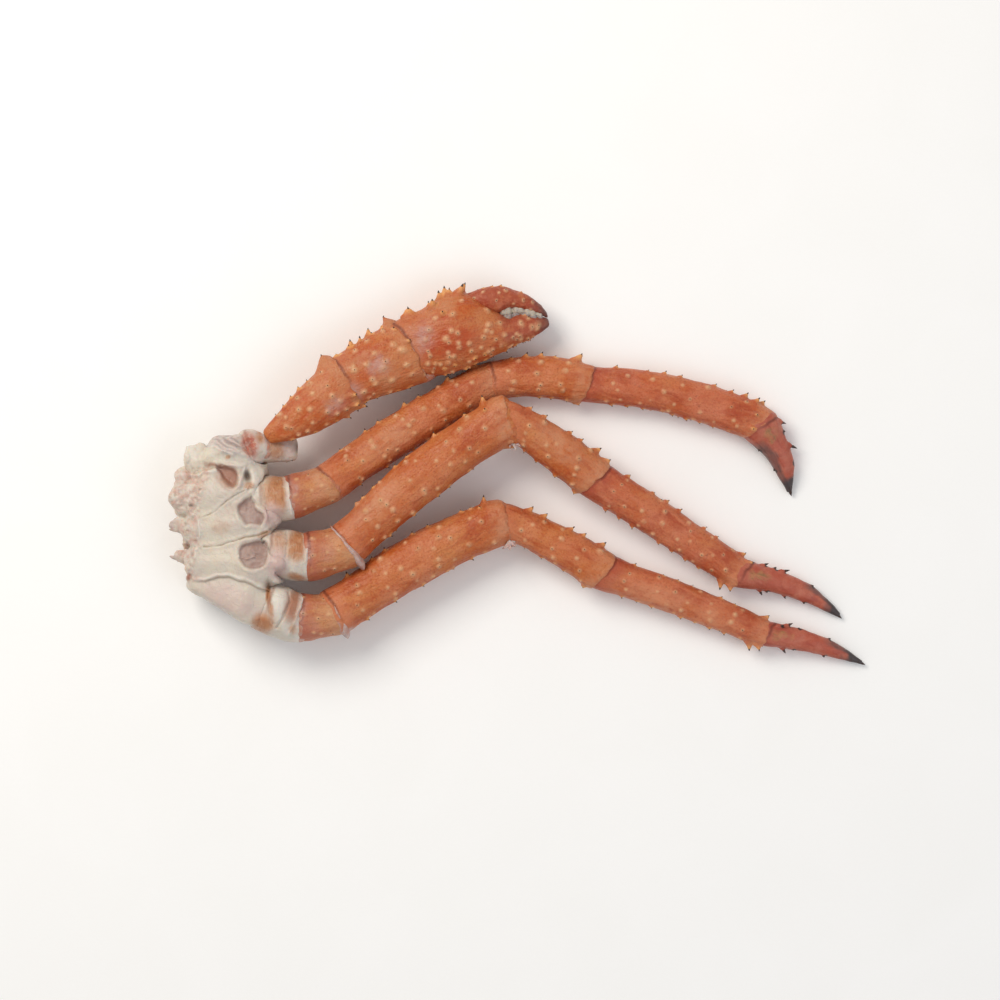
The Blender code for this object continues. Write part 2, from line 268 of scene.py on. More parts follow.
def drawn_cone(name, sides, steps):
    """A closed cone extruded from a circle through steps of radius and height."""
    radius, height = steps[0]
    bpy.ops.object.select_all(action="DESELECT")
    bpy.ops.mesh.primitive_circle_add(
        vertices=sides, radius=radius, fill_type="NGON", location=(0.0, 0.0, height))
    shape = bpy.context.active_object
    shape.name = shape.data.name = name
    bpy.ops.object.transform_apply(location=True, rotation=False, scale=False)
    bpy.ops.object.mode_set(mode="EDIT")
    bpy.ops.mesh.select_all(action="SELECT")
    for next_radius, next_height in steps[1:]:
        rise = (0.0, 0.0, next_height - height)
        bpy.ops.mesh.extrude_region_move(TRANSFORM_OT_translate={"value": rise})
        draw_in = next_radius / radius
        bpy.ops.transform.resize(value=(draw_in, draw_in, 1.0), center_override=(0.0, 0.0, 0.0))
        radius, height = next_radius, next_height
    bpy.ops.mesh.merge(type="CENTER")
    face_outward()
    return shape


spine_shape = drawn_cone("spine_pattern", 10, (
    (1.0, -0.4), (1.0, 0.0), (0.74, 0.16), (0.56, 0.36), (0.41, 0.6), (0.27, 0.82), (0.12, 1.0)))
point_shape = drawn_cone("point_pattern", 7, (
    (0.8, -0.35), (1.0, 0.0), (0.72, 0.35), (0.4, 0.72), (0.1, 1.0)))
print("faces of a spine:", len(spine_shape.data.polygons), "of a point:", len(point_shape.data.polygons))


# %% Plant copies of a shape
def planted(shape, foot, direction, radius, height, thick=1.0):
    """A copy of a pattern that stands on foot, placed in its own mesh. Thick is its upright share."""
    made = shape.copy()
    made.data = shape.data.copy()
    bpy.context.collection.objects.link(made)
    turn = Vector(direction).to_track_quat("Z", "Y").to_matrix().to_4x4()
    size = Matrix.Diagonal((radius, radius * thick, height, 1.0))
    made.data.transform(Matrix.Translation(foot) @ turn @ size)
    return made


def joined(piece, parts):
    """Make parts one mesh with piece."""
    select_only(piece)
    for part in parts:
        part.select_set(True)
    if parts:
        bpy.ops.object.join()
    return piece


def finished(piece, material, parts=()):
    """Give a piece its material, join parts that have their own, smooth it, and attach it to the root body.
    """
    piece.data.materials.clear()
    piece.data.materials.append(material)
    joined(piece, parts)
    select_only(piece)
    bpy.ops.object.shade_smooth()
    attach(piece, "root")
    return piece


# %% [markdown]
# ## Joints
# Where two limb pieces meet, the nearer shell ends in a swollen lip and the next one starts narrower and
# slides into it, with a soft skin between them. The plain pieces only stand face to face, so each joint's
# centre and plane are read from the corners that face each other, and both skins are then worked to it.

# %% Find the joints
LEG_KINDS = ("coxa", "ischium", "merus", "carpus", "propodus", "dactyl")
LIMBS = {
    **{leg: tuple(f"{leg}_{kind}" for kind in LEG_KINDS) for leg in ("leg_1", "leg_2", "leg_3")},
    "claw_foot": ("claw_coxa", "claw_ischium"),
    "claw_arm": ("claw_merus", "claw_carpus", "claw_palm"),
}
BODY = "body_section"
FACING = 1.5 * MM         # corners this much further apart than the nearest two still face each other
RIM_DEPTH = 3.0 * MM      # the last of a piece, in which its widest ring is


class Joint:
    """Where two pieces meet: its centre, the limb's direction there, and how wide and deep the limb is."""

    def __init__(self, near, far):
        nearer = np.unique(points_of(frame["nodes"][near]).round(6), axis=0)
        further = np.unique(points_of(frame["nodes"][far]).round(6), axis=0)
        apart = np.linalg.norm(nearer[:, None] - further[None], axis=2)
        reach = apart.min() + FACING
        facing = nearer[apart.min(1) < reach]
        heading = np.linalg.svd(facing - facing.mean(0))[2][-1]
        if (further.mean(0) - nearer.mean(0)) @ heading < 0.0:
            heading = -heading
        self.heading = heading
        self.left = unit(np.cross((0.0, 0.0, 1.0), heading))
        self.top = np.cross(heading, self.left)
        past = (nearer - facing.mean(0)) @ heading
        rim = nearer[past > past.max() - RIM_DEPTH]
        across, over = rim @ self.left, rim @ self.top
        self.wide = (across.max() - across.min()) / 2.0
        self.deep = (over.max() - over.min()) / 2.0
        self.centre = (heading * (facing @ heading).mean() + self.left * (across.max() + across.min()) / 2.0
                       + self.top * (over.max() + over.min()) / 2.0)

    def read(self, points):
        """Distance past the joint, and place across and over the limb as shares of half its size."""
        arms = points - self.centre
        return arms @ self.heading, arms @ self.left / self.wide, arms @ self.top / self.deep


# %% Read every joint
def hip_joint(hip):
    """The joint at which a hip leaves the body, read from the hip's own end and turned round."""
    joint = Joint(hip, BODY)
    joint.heading, joint.left = -joint.heading, -joint.left
    return joint


joints = {}
for names in LIMBS.values():
    if names[0].endswith("coxa"):
        joints[BODY, names[0]] = hip_joint(names[0])
    for near, far in zip(names, names[1:]):
        joints[near, far] = Joint(near, far)
for pair, joint in joints.items():
    print(pair[1], "joint at", (joint.centre / MM).round(1), "half width", round(joint.wide / MM, 1))


# %% How each joint is cut
# How a joint is cut, in millimetres: slant turns its plane (the left edge goes further out), belly bends
# its middle back, frill makes its edge uneven, and lip is how far the nearer shell reaches over the next.
# As shares of the limb's width: draw is how much the nearer shell narrows at its end, flare is how much
# the next one is widened at its start, and deepen is added to flare for its depth. Hold is how far from
# the limb's middle, in half widths, the nearer shell is still drawn.
CUT_NAMES = ("slant", "belly", "frill", "lip", "draw", "flare", "deepen", "hold")
CUTS = {
    "coxa": (0.0, 0.0, 0.0, 2.6, 0.0, -0.01, 0.0, 1.75),
    "ischium": (0.0, 0.5, 0.7, 0.8, 0.09, 0.10, 0.12, 3.0),
    "merus": (-2.5, -1.5, 0.5, 0.6, 0.03, 0.06, 0.12, 3.0),
    "carpus": (-3.5, 0.0, 0.9, 1.7, 0.04, 0.08, 0.0, 3.0),
    "propodus": (3.2, -1.8, 0.8, 1.4, 0.03, 0.06, 0.0, 3.0),
    "dactyl": (0.8, 0.8, 0.8, 1.2, 0.02, 0.05, 0.04, 3.0),
    "palm": (-6.0, -1.5, 1.5, 1.5, 0.03, 0.11, 0.0, 3.0),
}
OWN_CUTS = {
    "leg_1_carpus": {"slant": 0.5}, "leg_1_propodus": {"slant": 3.0, "flare": 0.03},
    "leg_1_dactyl": {"slant": 3.0, "draw": 0.04, "flare": 0.23}, "leg_3_carpus": {"flare": 0.12},
    "leg_3_propodus": {"flare": 0.19}, "claw_carpus": {"slant": -1.0, "frill": 1.3, "lip": 1.7},
    "claw_ischium": {"draw": 0.10, "flare": 0.14},
}
SLANT_REACH = 9.0 * MM    # how far from a joint its slant is felt
LIP_REACH = 5.0 * MM
DRAW_REACH = 9.0 * MM
FLARE_REACH = 15.0 * MM
TUCK_REACH = 8.0 * MM
LIP_FROM = 0.72           # only what is further from the limb's middle than this share is drawn out
LIP_SOFT = 0.2
TUCK = 3.0 * MM           # how far the next shell starts inside the nearer one


# %% Work both sides of a joint
def cut_of(far):
    """The numbers for the joint at which a piece starts."""
    return {**dict(zip(CUT_NAMES, CUTS[far.split("_")[-1]])), **OWN_CUTS.get(far, {})}


def slanted(points, joint, cut):
    """Slide points near a joint along the limb, so that the joint's plane is slanted, bent and uneven."""
    along, across, over = joint.read(points)
    turn = np.arctan2(over, across)
    start = joint.centre[0] / MM
    waves = (0.5 * np.sin(3 * turn + start) + 0.3 * np.sin(7 * turn + 2 * start)
             + 0.2 * np.sin(12 * turn + 3 * start))
    across = np.clip(across, -1.2, 1.2)
    slide = (cut["slant"] * across + cut["belly"] * (across ** 2 - 0.5) + cut["frill"] * waves) * MM
    return points + joint.heading * (slide * hump(along, SLANT_REACH))[:, None]


def lipped(points, joint, cut):
    """Draw the outer edge of the nearer piece's end out over the next piece."""
    along, across, over = joint.read(points)
    from_middle = np.hypot(across, over)
    close = ease((cut["hold"] - from_middle) / 0.4)
    pull = ease((along + LIP_REACH) / LIP_REACH) * ease((from_middle - LIP_FROM) / LIP_SOFT) * close
    spread = joint.left * (across * joint.wide)[:, None] + joint.top * (over * joint.deep)[:, None]
    narrow = cut["draw"] * ease((along + DRAW_REACH) / DRAW_REACH) * close
    return points + joint.heading * (cut["lip"] * MM * pull)[:, None] - spread * narrow[:, None]


def tucked(points, joint, cut):
    """Widen the start of the further piece nearly to the nearer one's width, and push it back inside."""
    along, across, over = joint.read(points)
    near = 1.0 - ease(along / FLARE_REACH)
    wider = joint.left * (across * joint.wide * cut["flare"] * near)[:, None]
    deeper = joint.top * (over * joint.deep * (cut["flare"] + cut["deepen"]) * near)[:, None]
    back = joint.heading * (TUCK * (1.0 - ease(along / TUCK_REACH)))[:, None]
    return points + wider + deeper - back


def worked(points, near_joint, far_joint):
    """Both of a piece's joints worked into its points."""
    for pair, work in ((near_joint, tucked), (far_joint, lipped)):
        if pair:
            joint, cut = joints[pair], cut_of(pair[1])
            points = slanted(work(points, joint, cut), joint, cut)
    return points


# %% [markdown]
# ## Spines and tubercles
# Spines stand in rows along a limb: long ones on its edges, where the plain piece already has them, and low
# cream tubercles between. A place on a piece is given as a share of its length and an angle round it (0 is
# the left edge seen from above, 90 the top, 180 the right edge), and a ray from its middle finds the skin.

# %% Where the tubercles stand
# angle, number, height and radius in millimetres
LOW_ROWS = {
    "ischium": ((40, 2, 0.6, 1.3), (90, 3, 0.6, 1.3), (140, 3, 0.7, 1.3), (230, 2, 0.6, 1.2),
                (300, 3, 0.6, 1.3)),
    "merus": ((20, 5, 1.4, 1.9), (44, 5, 1.0, 1.7), (70, 6, 0.8, 1.6), (96, 5, 0.8, 1.7),
              (124, 6, 0.9, 1.6), (150, 5, 1.2, 1.8), (205, 6, 1.1, 1.6), (240, 6, 0.9, 1.6),
              (280, 7, 0.9, 1.6), (325, 6, 1.2, 1.6)),
    "carpus": ((28, 3, 1.4, 1.8), (58, 3, 0.8, 1.6), (90, 3, 0.7, 1.5), (122, 3, 0.8, 1.6),
               (150, 3, 1.1, 1.7), (210, 3, 1.1, 1.6), (255, 3, 0.9, 1.6), (310, 4, 1.1, 1.6)),
    "propodus": ((28, 5, 1.0, 1.5), (58, 4, 0.7, 1.4), (88, 5, 0.6, 1.4), (118, 5, 0.7, 1.4),
                 (148, 6, 1.0, 1.5), (205, 8, 1.1, 1.4), (245, 6, 0.8, 1.5), (290, 6, 0.9, 1.5),
                 (335, 6, 1.1, 1.5)),
}
CLAW_ROWS = {
    "claw_merus": ((35, 4, 1.2, 1.8), (65, 4, 0.8, 1.6), (95, 3, 0.9, 1.7), (125, 4, 0.9, 1.6),
                   (152, 5, 1.2, 1.6), (215, 4, 1.0, 1.6), (270, 5, 1.0, 1.6), (320, 4, 1.0, 1.6)),
    "claw_carpus": ((30, 3, 1.4, 2.0), (55, 3, 1.1, 2.2), (80, 4, 1.1, 2.3), (105, 3, 1.1, 2.1),
                    (130, 4, 1.0, 1.8), (155, 6, 1.2, 1.6), (210, 5, 1.1, 1.8), (250, 4, 1.0, 1.8),
                    (300, 4, 1.2, 1.8)),
    "claw_palm": ((22, 4, 1.8, 2.1), (42, 4, 1.2, 2.1), (60, 5, 1.0, 2.0), (78, 7, 0.9, 1.9),
                  (92, 8, 0.9, 1.8), (106, 10, 0.9, 1.7), (120, 11, 0.9, 1.6), (134, 12, 1.0, 1.5),
                  (148, 13, 1.1, 1.5), (162, 13, 1.2, 1.5), (200, 10, 1.1, 1.5), (225, 9, 1.0, 1.6),
                  (255, 8, 1.0, 1.7), (290, 7, 1.0, 1.7), (330, 6, 1.3, 1.8)),
    "claw_finger": ((30, 4, 1.0, 1.4), (60, 5, 0.7, 1.3), (90, 4, 0.6, 1.2), (300, 4, 0.8, 1.3),
                    (330, 4, 1.0, 1.3)),
}
# Single spines that stand at the knees and rims: share, angle, height in millimetres and, where they are
# not like the others, radius in millimetres and how far they lean
SINGLE_SPINES = {
    "leg_1_merus": ((0.97, 6, 4.4), (0.93, 172, 2.6)),
    "leg_1_carpus": ((0.88, 6, 5.2), (0.97, 175, 2.0)),
    "leg_1_propodus": ((0.88, 6, 3.4), (0.94, 14, 3.8), (0.97, 358, 3.2), (0.96, 60, 2.0),
                       (0.97, 110, 2.0)),
    "leg_2_merus": ((0.97, 6, 4.8), (0.95, 40, 2.6), (0.90, 172, 2.8)),
    "leg_2_carpus": ((0.86, 4, 4.2), (0.95, 16, 3.0), (0.96, 176, 2.2)),
    "leg_2_propodus": ((0.93, 176, 5.0), (0.98, 168, 3.4), (0.93, 4, 3.0), (0.98, 22, 2.6)),
    "leg_3_merus": ((0.97, 6, 4.2), (0.92, 30, 2.2), (0.93, 172, 2.6)),
    "leg_3_carpus": ((0.87, 4, 3.8), (0.96, 172, 2.0)),
    "leg_3_propodus": ((0.93, 176, 4.6), (0.98, 166, 3.2), (0.95, 4, 3.0)),
    "leg_1_dactyl": ((0.06, 8, 3.6, 1.5, 1.0), (0.20, 8, 4.6, 1.7, 1.0), (0.42, 8, 4.8, 1.7, 1.0)),
    "leg_2_dactyl": ((0.14, 8, 3.4, 1.5, 1.2), (0.34, 8, 4.6, 1.6, 1.4), (0.22, 176, 3.2, 1.5, 0.9),
                     (0.45, 174, 2.2, 1.2, 0.9)),
    "leg_3_dactyl": ((0.16, 10, 3.8, 1.6, 1.2), (0.20, 178, 3.4, 1.6, 1.0), (0.10, 30, 2.6, 1.4, 0.9)),
    "claw_merus": ((0.96, 172, 3.8), (0.92, 150, 2.8), (0.97, 128, 2.4), (0.80, 176, 2.8)),
    "claw_carpus": ((0.30, 8, 4.2), (0.58, 6, 4.0), (0.96, 172, 3.4), (0.97, 150, 2.8),
                    (0.97, 125, 2.6), (0.97, 96, 2.4), (0.97, 66, 2.6), (0.97, 36, 3.0), (0.06, 170, 3.4)),
    "claw_palm": ((0.10, 16, 5.0), (0.22, 22, 5.0), (0.32, 6, 5.2), (0.42, 16, 6.4), (0.44, 2, 5.6),
                  (0.27, 40, 3.0)),
}
# Corners of the claw's arm, where the shell itself is drawn out to a point: share, angle, height and radius
CORNERS = {"claw_merus": ((0.95, 6, 6.0, 8.5),), "claw_carpus": ((0.97, 5, 6.5, 10.0),)}
ROW_START = 0.07          # rows start and end a little inside a piece, in shares of it
ROW_LENGTH = 0.84
PLACE_JITTER = 0.055      # in shares of the piece
ANGLE_JITTER = 9.0
SIZE_RANGE = (0.5, 1.35)  # tubercles are this much smaller or larger than their row says
FLANK = 1.4               # above 1, a tubercle's flanks are hollow
CLEAR_OF_SPINES = 3.0 * MM


# %% Find places on a skin and raise tubercles
def frame_of(near, far):
    """The heading, left and top of a piece between two points."""
    heading = unit(far - near)
    left = unit(np.cross((0.0, 0.0, 1.0), heading))
    return heading, left, np.cross(heading, left)


def surface_of(piece):
    """A piece's skin, ready for rays."""
    return BVHTree.FromPolygons([v.co for v in piece.data.vertices],
                                [p.vertices for p in piece.data.polygons])


def found(surface, near, far, share, angle):
    """The place on a skin at a share and an angle, and which way it faces, or nothing."""
    _, left, top = frame_of(near, far)
    way = left * math.cos(math.radians(angle)) + top * math.sin(math.radians(angle))
    place, normal, _, _ = surface.ray_cast(Vector(near + (far - near) * share), Vector(way))
    return (np.array(place), np.array(normal)) if place else None


def tubercle_places(piece, near, far, rows, chance, keep_off):
    """Where a piece's tubercles stand: place, outward direction, height and radius of each."""
    surface = surface_of(piece)
    places = []
    for angle, count, height, radius in rows:
        for number in range(count):
            share = (number + 0.5 + 0.25 * (angle // 20 % 2)) / count * ROW_LENGTH + ROW_START
            share += chance.uniform(-PLACE_JITTER, PLACE_JITTER)
            size = chance.uniform(*SIZE_RANGE)
            spot = found(surface, near, far, share, angle + chance.uniform(-ANGLE_JITTER, ANGLE_JITTER))
            if spot and all(np.linalg.norm(spot[0] - foot) > CLEAR_OF_SPINES for foot in keep_off):
                places.append((*spot, height * size * MM, radius * (0.55 + 0.65 * size) * MM))
    return places


def raised(points, places):
    """Raise a low cone of shell at each place, and tell how near each corner is to the middle of one."""
    mound = np.zeros(len(points))
    points = points.copy()
    for place, normal, height, radius in places:
        nearness = 1.0 - np.linalg.norm(points - place, axis=1) / radius
        inside = nearness > 0.0
        points[inside] += normal * (height * nearness[inside] ** FLANK)[:, None]
        mound[inside] = np.maximum(mound[inside], nearness[inside])
    return points, mound


# %% [markdown]
# ## Build a limb piece
# The order matters. Spines are joined before the remesh, so that skin runs up them without a seam. Joints,
# swells and tubercles are worked into the even skin after it, and the dark points are set on last, because
# they are another material and too fine for the remesh.

# %% Sizes of the skin, its spines and its points
VOXEL = 0.66 * MM
FINE_VOXEL = 0.45 * MM    # for toes, fingers and hips
SWELL = 0.45              # what rounding takes off a limb's radius, in millimetres
SPINE_LEAN = 0.4          # how far a spine leans outwards along its limb
CORNER_LEAN = 0.6
DOT_LEAN = 0.3
SLIM = 1.0 * MM           # a spine's radius is this and a share of its height
STOUT = 0.42
SPINES_APART = 1.5 * MM
SPINE_RANGE = (0.5, 1.05)    # spines are this share of the plain ones
POINT_FIT = 0.95          # how tightly a horny point fits on its spine
POINT_OVER = 0.06         # how far it reaches past the spine's tip, as a share of the spine
CORNER_POINT = (0.5 * MM, 1.1 * MM)    # radius and height
CORNER_BACK = 0.5 * MM    # how far back from a corner's tip its point is set
DOT_POINT = (0.34 * MM, 0.6 * MM)
DOT_SET = 0.7             # how far up a tubercle its dark point is set
STRETCH = 3.2             # streaks are this much longer than wide
START_REACH = 13.0 * MM   # how far the colour of a piece's start goes
RIM_REACH = 12.0 * MM
swell_clouds = bpy.data.textures.new("growth swells", "CLOUDS")
swell_clouds.noise_scale = 9.0 * MM
swell_clouds.noise_depth = 1


# %% Spines and corners of a piece
def spines_of(piece, node, near, far, plain_spines, size, chance):
    """Every spine of a piece: foot, direction, height and radius."""
    grown = []
    for foot, tip in plain_spines:
        height = (tip - foot).length * size * chance.uniform(*SPINE_RANGE)
        grown.append((np.array(foot), np.array((tip - foot).normalized()), height, SLIM + STOUT * height))
    surface = surface_of(piece)
    heading = frame_of(near, far)[0]
    for share, angle, height, *own in SINGLE_SPINES.get(node, ()):
        spot = found(surface, near, far, share, angle)
        height = height * MM
        radius = own[0] * MM if own else SLIM + STOUT * height
        lean = own[1] if own else SPINE_LEAN
        if spot and all(np.linalg.norm(spot[0] - foot) > SPINES_APART for foot, *_ in grown):
            grown.append((spot[0], unit(spot[1] + heading * lean), height, radius))
    return grown


def corners_of(piece, node, near, far):
    """Every corner of a piece: place, direction, height and radius."""
    surface = surface_of(piece)
    corners = []
    for share, angle, height, radius in CORNERS.get(node, ()):
        place, normal = found(surface, near, far, share, angle)
        way = unit(normal + frame_of(near, far)[0] * CORNER_LEAN)
        corners.append((place, way, height * MM, radius * MM))
    return corners


# %% Numbers that a finish reads
def paint_spines(piece, points, spines):
    """Tell the finish how far up a spine each corner is."""
    spine = np.zeros(len(points))
    for foot, way, height, radius in spines:
        arms = points - foot
        up = arms @ way / height
        aside = np.linalg.norm(arms - np.outer(up * height, way), axis=1)
        spine = np.maximum(spine, np.where(aside < radius * 1.15, ease(up * 1.2), 0.0))
    paint(piece, "spine", spine)


def paint_limb(piece, points, near, far, near_joint, far_joint):
    """The numbers that tell a finish where it is on a limb."""
    heading, left, top = frame_of(near, far)
    arms = points - near
    grain = np.stack([arms @ heading / STRETCH, arms @ left, arms @ top], axis=1)
    layer = piece.data.attributes.new("limb", "FLOAT_VECTOR", "POINT")
    layer.data.foreach_set("vector", grain.astype(np.float32).ravel())
    if near_joint:
        joint, cut = joints[near_joint], cut_of(near_joint[1])
        along, across, _ = joint.read(tucked(points, joint, cut))
        # A dark line just past the lip: painted shade under the nearer shell's lip, on a darker joint
        # colour
        line = hump(along / MM - cut["lip"] - 0.2, 1.1)
        paint(piece, "crease", line * (0.3 + 0.7 * ease((across + 0.7) / 1.2)))
        paint(piece, "start", 1.0 - ease(along / START_REACH))
    if far_joint:
        along = joints[far_joint].read(points)[0]
        paint(piece, "rim", ease(1.0 + along / RIM_REACH))


# %% One limb piece from plain to finished shape
def dark_points(spots, material):
    """Horny points set on spines and tubercles: place, direction, radius and height of each."""
    parts = [planted(point_shape, Vector(place), way, radius, height)
             for place, way, radius, height in spots]
    for part in parts:
        part.data.materials.append(material)
    return parts


def grown_shell(node, near, far, rows, shell, slot, near_joint=None, far_joint=None, spine_size=1.0,
                dots=0.2, voxel=VOXEL, swell=SWELL, point_share=0.15, shape=None):
    """A limb piece with its skin, spines, joints and tubercles, and the numbers that its finish reads."""
    chance = random.Random(node)
    piece, plain_spines = plain_copy(node, node + "_shell")
    apply_modifier(piece, "SUBSURF", levels=2, render_levels=2)
    apply_modifier(piece, "DISPLACE", strength=swell * MM, mid_level=0.0)
    spines = spines_of(piece, node, near, far, plain_spines, spine_size, chance)
    joined(piece, [planted(spine_shape, Vector(foot), way, radius, height)
                   for foot, way, height, radius in spines])
    apply_modifier(piece, "REMESH", mode="VOXEL", voxel_size=voxel)
    apply_modifier(piece, "SMOOTH", factor=0.5, iterations=3)
    apply_modifier(piece, "DISPLACE", texture=swell_clouds, texture_coords="LOCAL", strength=1.0 * MM,
                   mid_level=0.5)
    corners = corners_of(piece, node, near, far)
    places = tubercle_places(piece, near, far, rows, chance, [foot for foot, *_ in spines + corners])
    points, mound = raised(raised(points_of(piece), corners)[0], places)
    paint(piece, "mound", mound)
    paint_spines(piece, points, spines)
    paint_limb(piece, points, near, far, near_joint, far_joint)
    points = worked(points, near_joint, far_joint)
    move_points(piece, shape(points) if shape else points)
    spots = [(foot + way * height * (1.0 - point_share), way, radius * POINT_FIT * point_share,
              height * (point_share + POINT_OVER)) for foot, way, height, radius in spines]
    spots += [(foot + way * (height - CORNER_BACK), way, *CORNER_POINT) for foot, way, height, _ in corners]
    for place, normal, height, _ in places:
        if chance.random() < dots:
            lean = normal + frame_of(near, far)[0] * DOT_LEAN
            spots.append((place + normal * height * DOT_SET, lean, *DOT_POINT))
    moved = worked(np.array([spot[0] for spot in spots]).reshape(-1, 3), near_joint, far_joint)
    moved = shape(moved) if shape else moved
    spots = [(place, *rest) for place, (_, *rest) in zip(moved, spots)]
    finished(piece, shell, dark_points(spots, horn))
    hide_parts(node)
    return piece


# %% [markdown]
# ## Finishes
# Boiled crab shell is chitin stiffened with chalk. Heat turns its pigment orange-red, but unevenly: there
# are tan and pink clouds some 20 mm wide, deeper red streaks along the limb, and a fine mottle. Thin
# parts, such as spines, let light through and look amber. Tubercles are cream, horn is nearly black, and
# the breastplate holds little pigment, so it stays the colour of chalk.


# %% One function for nodes
def add(tree, kind, inputs, **settings):
    """Add a node with its settings, and give its inputs values or links."""
    node = tree.nodes.new(kind)
    for name, value in settings.items():
        setattr(node, name, value)
    for name, value in inputs.items():
        if isinstance(value, bpy.types.NodeSocket):
            tree.links.new(value, node.inputs[name])
        else:
            node.inputs[name].default_value = value
    return node


# %% A finish in the making
CHITIN_IOR = 1.54         # chitin is about as dense to light as crown glass
FLESH_REACH = (1.0, 0.42, 0.24)     # red light goes furthest into flesh


class Finish:
    """A material in the making: masks, and what is laid through them. Its sizes are in millimetres."""

    def __init__(self, name, roughness, shine, soft, soft_reach):
        self.made = bpy.data.materials.new(name)
        self.made.use_nodes = True
        self.tree = self.made.node_tree
        self.shader = self.tree.nodes["Principled BSDF"]
        for label, value in {"Roughness": roughness, "IOR": CHITIN_IOR, "Specular IOR Level": shine,
                             "Subsurface Weight": soft, "Subsurface Radius": FLESH_REACH,
                             "Subsurface Scale": soft_reach * MM}.items():
            self.shader.inputs[label].default_value = value
        self.place = add(self.tree, "ShaderNodeTexCoord", {}).outputs["Object"]

    def clouds(self, size, low, high, amount=1.0, detail=3.0, twist=0.6, place=None):
        """Soft clouds about size wide, as a mask from 0 to amount between two levels of the noise."""
        noise = add(self.tree, "ShaderNodeTexNoise", {
            "Vector": self.place if place is None else place, "Scale": 1.0 / (size * MM),
            "Detail": detail, "Roughness": 0.55, "Distortion": twist})
        return add(self.tree, "ShaderNodeMapRange", {
            "Value": noise.outputs["Fac"], "From Min": low, "From Max": high,
            "To Max": amount}).outputs["Result"]

    def streaks(self, *levels):
        """Clouds drawn out along the limb."""
        grain = add(self.tree, "ShaderNodeAttribute", {}, attribute_name="limb")
        return self.clouds(*levels, place=grain.outputs["Vector"])

    def grains(self, size, reach):
        """Round grains about size apart, as a mask that is 1 in the middle of each."""
        cells = add(self.tree, "ShaderNodeTexVoronoi", {
            "Vector": self.place, "Scale": 1.0 / (size * MM), "Randomness": 1.0})
        return add(self.tree, "ShaderNodeMapRange", {
            "Value": cells.outputs["Distance"], "From Min": reach, "From Max": 0.0}).outputs["Result"]

    def painted(self, name, amount=1.0, low=0.0, high=1.0):
        """A number painted on the surface, as a mask from 0 to amount between two of its levels."""
        layer = add(self.tree, "ShaderNodeAttribute", {}, attribute_name=name)
        return add(self.tree, "ShaderNodeMapRange", {
            "Value": layer.outputs["Fac"], "From Min": low, "From Max": high,
            "To Max": amount}).outputs["Result"]

    def layered(self, first, layers):
        """The colour: a first one with others laid over it, each through its mask."""
        colour = linear(first)
        for mask, code in layers:
            colour = add(self.tree, "ShaderNodeMixRGB", {
                "Fac": mask, "Color1": colour, "Color2": linear(code)}).outputs["Color"]
        self.tree.links.new(colour, self.shader.inputs["Base Color"])

    def roughened(self, low, high, size):
        """Roughness that drifts between two values."""
        rough = add(self.tree, "ShaderNodeMapRange", {
            "Value": self.clouds(size, 0.3, 0.7), "To Min": low, "To Max": high})
        self.tree.links.new(rough.outputs["Result"], self.shader.inputs["Roughness"])

    def relief(self, heights):
        """Fine relief: pairs of a mask and how high it stands."""
        inputs = {"Strength": 1.0}
        for mask, height in heights:
            bump = add(self.tree, "ShaderNodeBump", {**inputs, "Height": mask, "Distance": height * MM})
            inputs["Normal"] = bump.outputs["Normal"]
        self.tree.links.new(inputs["Normal"], self.shader.inputs["Normal"])


# %% Boiled shell
# Fresh from the pot the shell is damp, so it has soft highlights.
def boiled_shell(name, base, tan, pink, deep, rim, first, cream=0.85):
    """Orange-red shell of the legs and the claw. First is the colour of its start, rim that of its end."""
    coat = Finish(name, 0.42, 0.3, 0.18, 1.5)
    coat.layered(base, (
        (coat.clouds(24, 0.42, 0.66, 0.85), tan),
        (coat.clouds(32, 0.45, 0.65, 0.75, twist=1.2), pink),
        (coat.streaks(8, 0.46, 0.66, 0.8), deep),
        (coat.streaks(3, 0.48, 0.70, 0.45), pink),
        (coat.clouds(2.0, 0.48, 0.75, 0.45, 2.0), tan),
        (coat.clouds(1.1, 0.50, 0.72, 0.50, 1.0), deep),
        (coat.clouds(1.5, 0.63, 0.74, 0.3, 1.0), "#5A1D10"),
        (coat.clouds(5, 0.25, 0.52, coat.painted("start", 0.8)), first),
        (coat.clouds(6, 0.20, 0.50, coat.painted("glow", 0.9)), deep),
        # tan patches; those on the legs' upper sides are partly painted highlight
        (coat.clouds(5, 0.25, 0.55, coat.painted("tan", 0.65)), rim),
        (coat.clouds(6, 0.15, 0.45, coat.painted("flush", 0.8)), "#9A402C"),
        (coat.clouds(2.4, 0.45, 0.65, coat.painted("flush", 0.6)), "#BA6A4A"),
        (coat.clouds(7, 0.30, 0.60, coat.painted("rim", 0.75)), rim),
        # painted shade under a joint's lip, with a darker joint colour
        (coat.painted("crease", 0.75, 0.2, 1.0), "#5E2417"),
        (coat.painted("spine", 0.8, 0.05, 0.8), "#E3A467"),
        (coat.clouds(3, 0.2, 0.55, coat.painted("mound", cream, 0.0, 0.8)), "#DAAC82"),
        (coat.painted("mound", 0.5, 0.72, 0.95), "#C98850"),
        # lilac patches: partly soft skin showing through, partly painted sheen
        (coat.clouds(3, 0.20, 0.6, coat.painted("sheen", 0.7)), "#B98F86"),
        (coat.clouds(2.5, 0.2, 0.5, coat.painted("pale", 0.85)), "#BFA8A2"),
        (coat.painted("tip", 0.85), "#57403D"),
    ))
    coat.roughened(0.34, 0.54, 6)
    coat.relief(((coat.grains(1.3, 0.6), 0.16), (coat.streaks(3.0, 0.3, 0.7), 0.35)))
    return coat.made


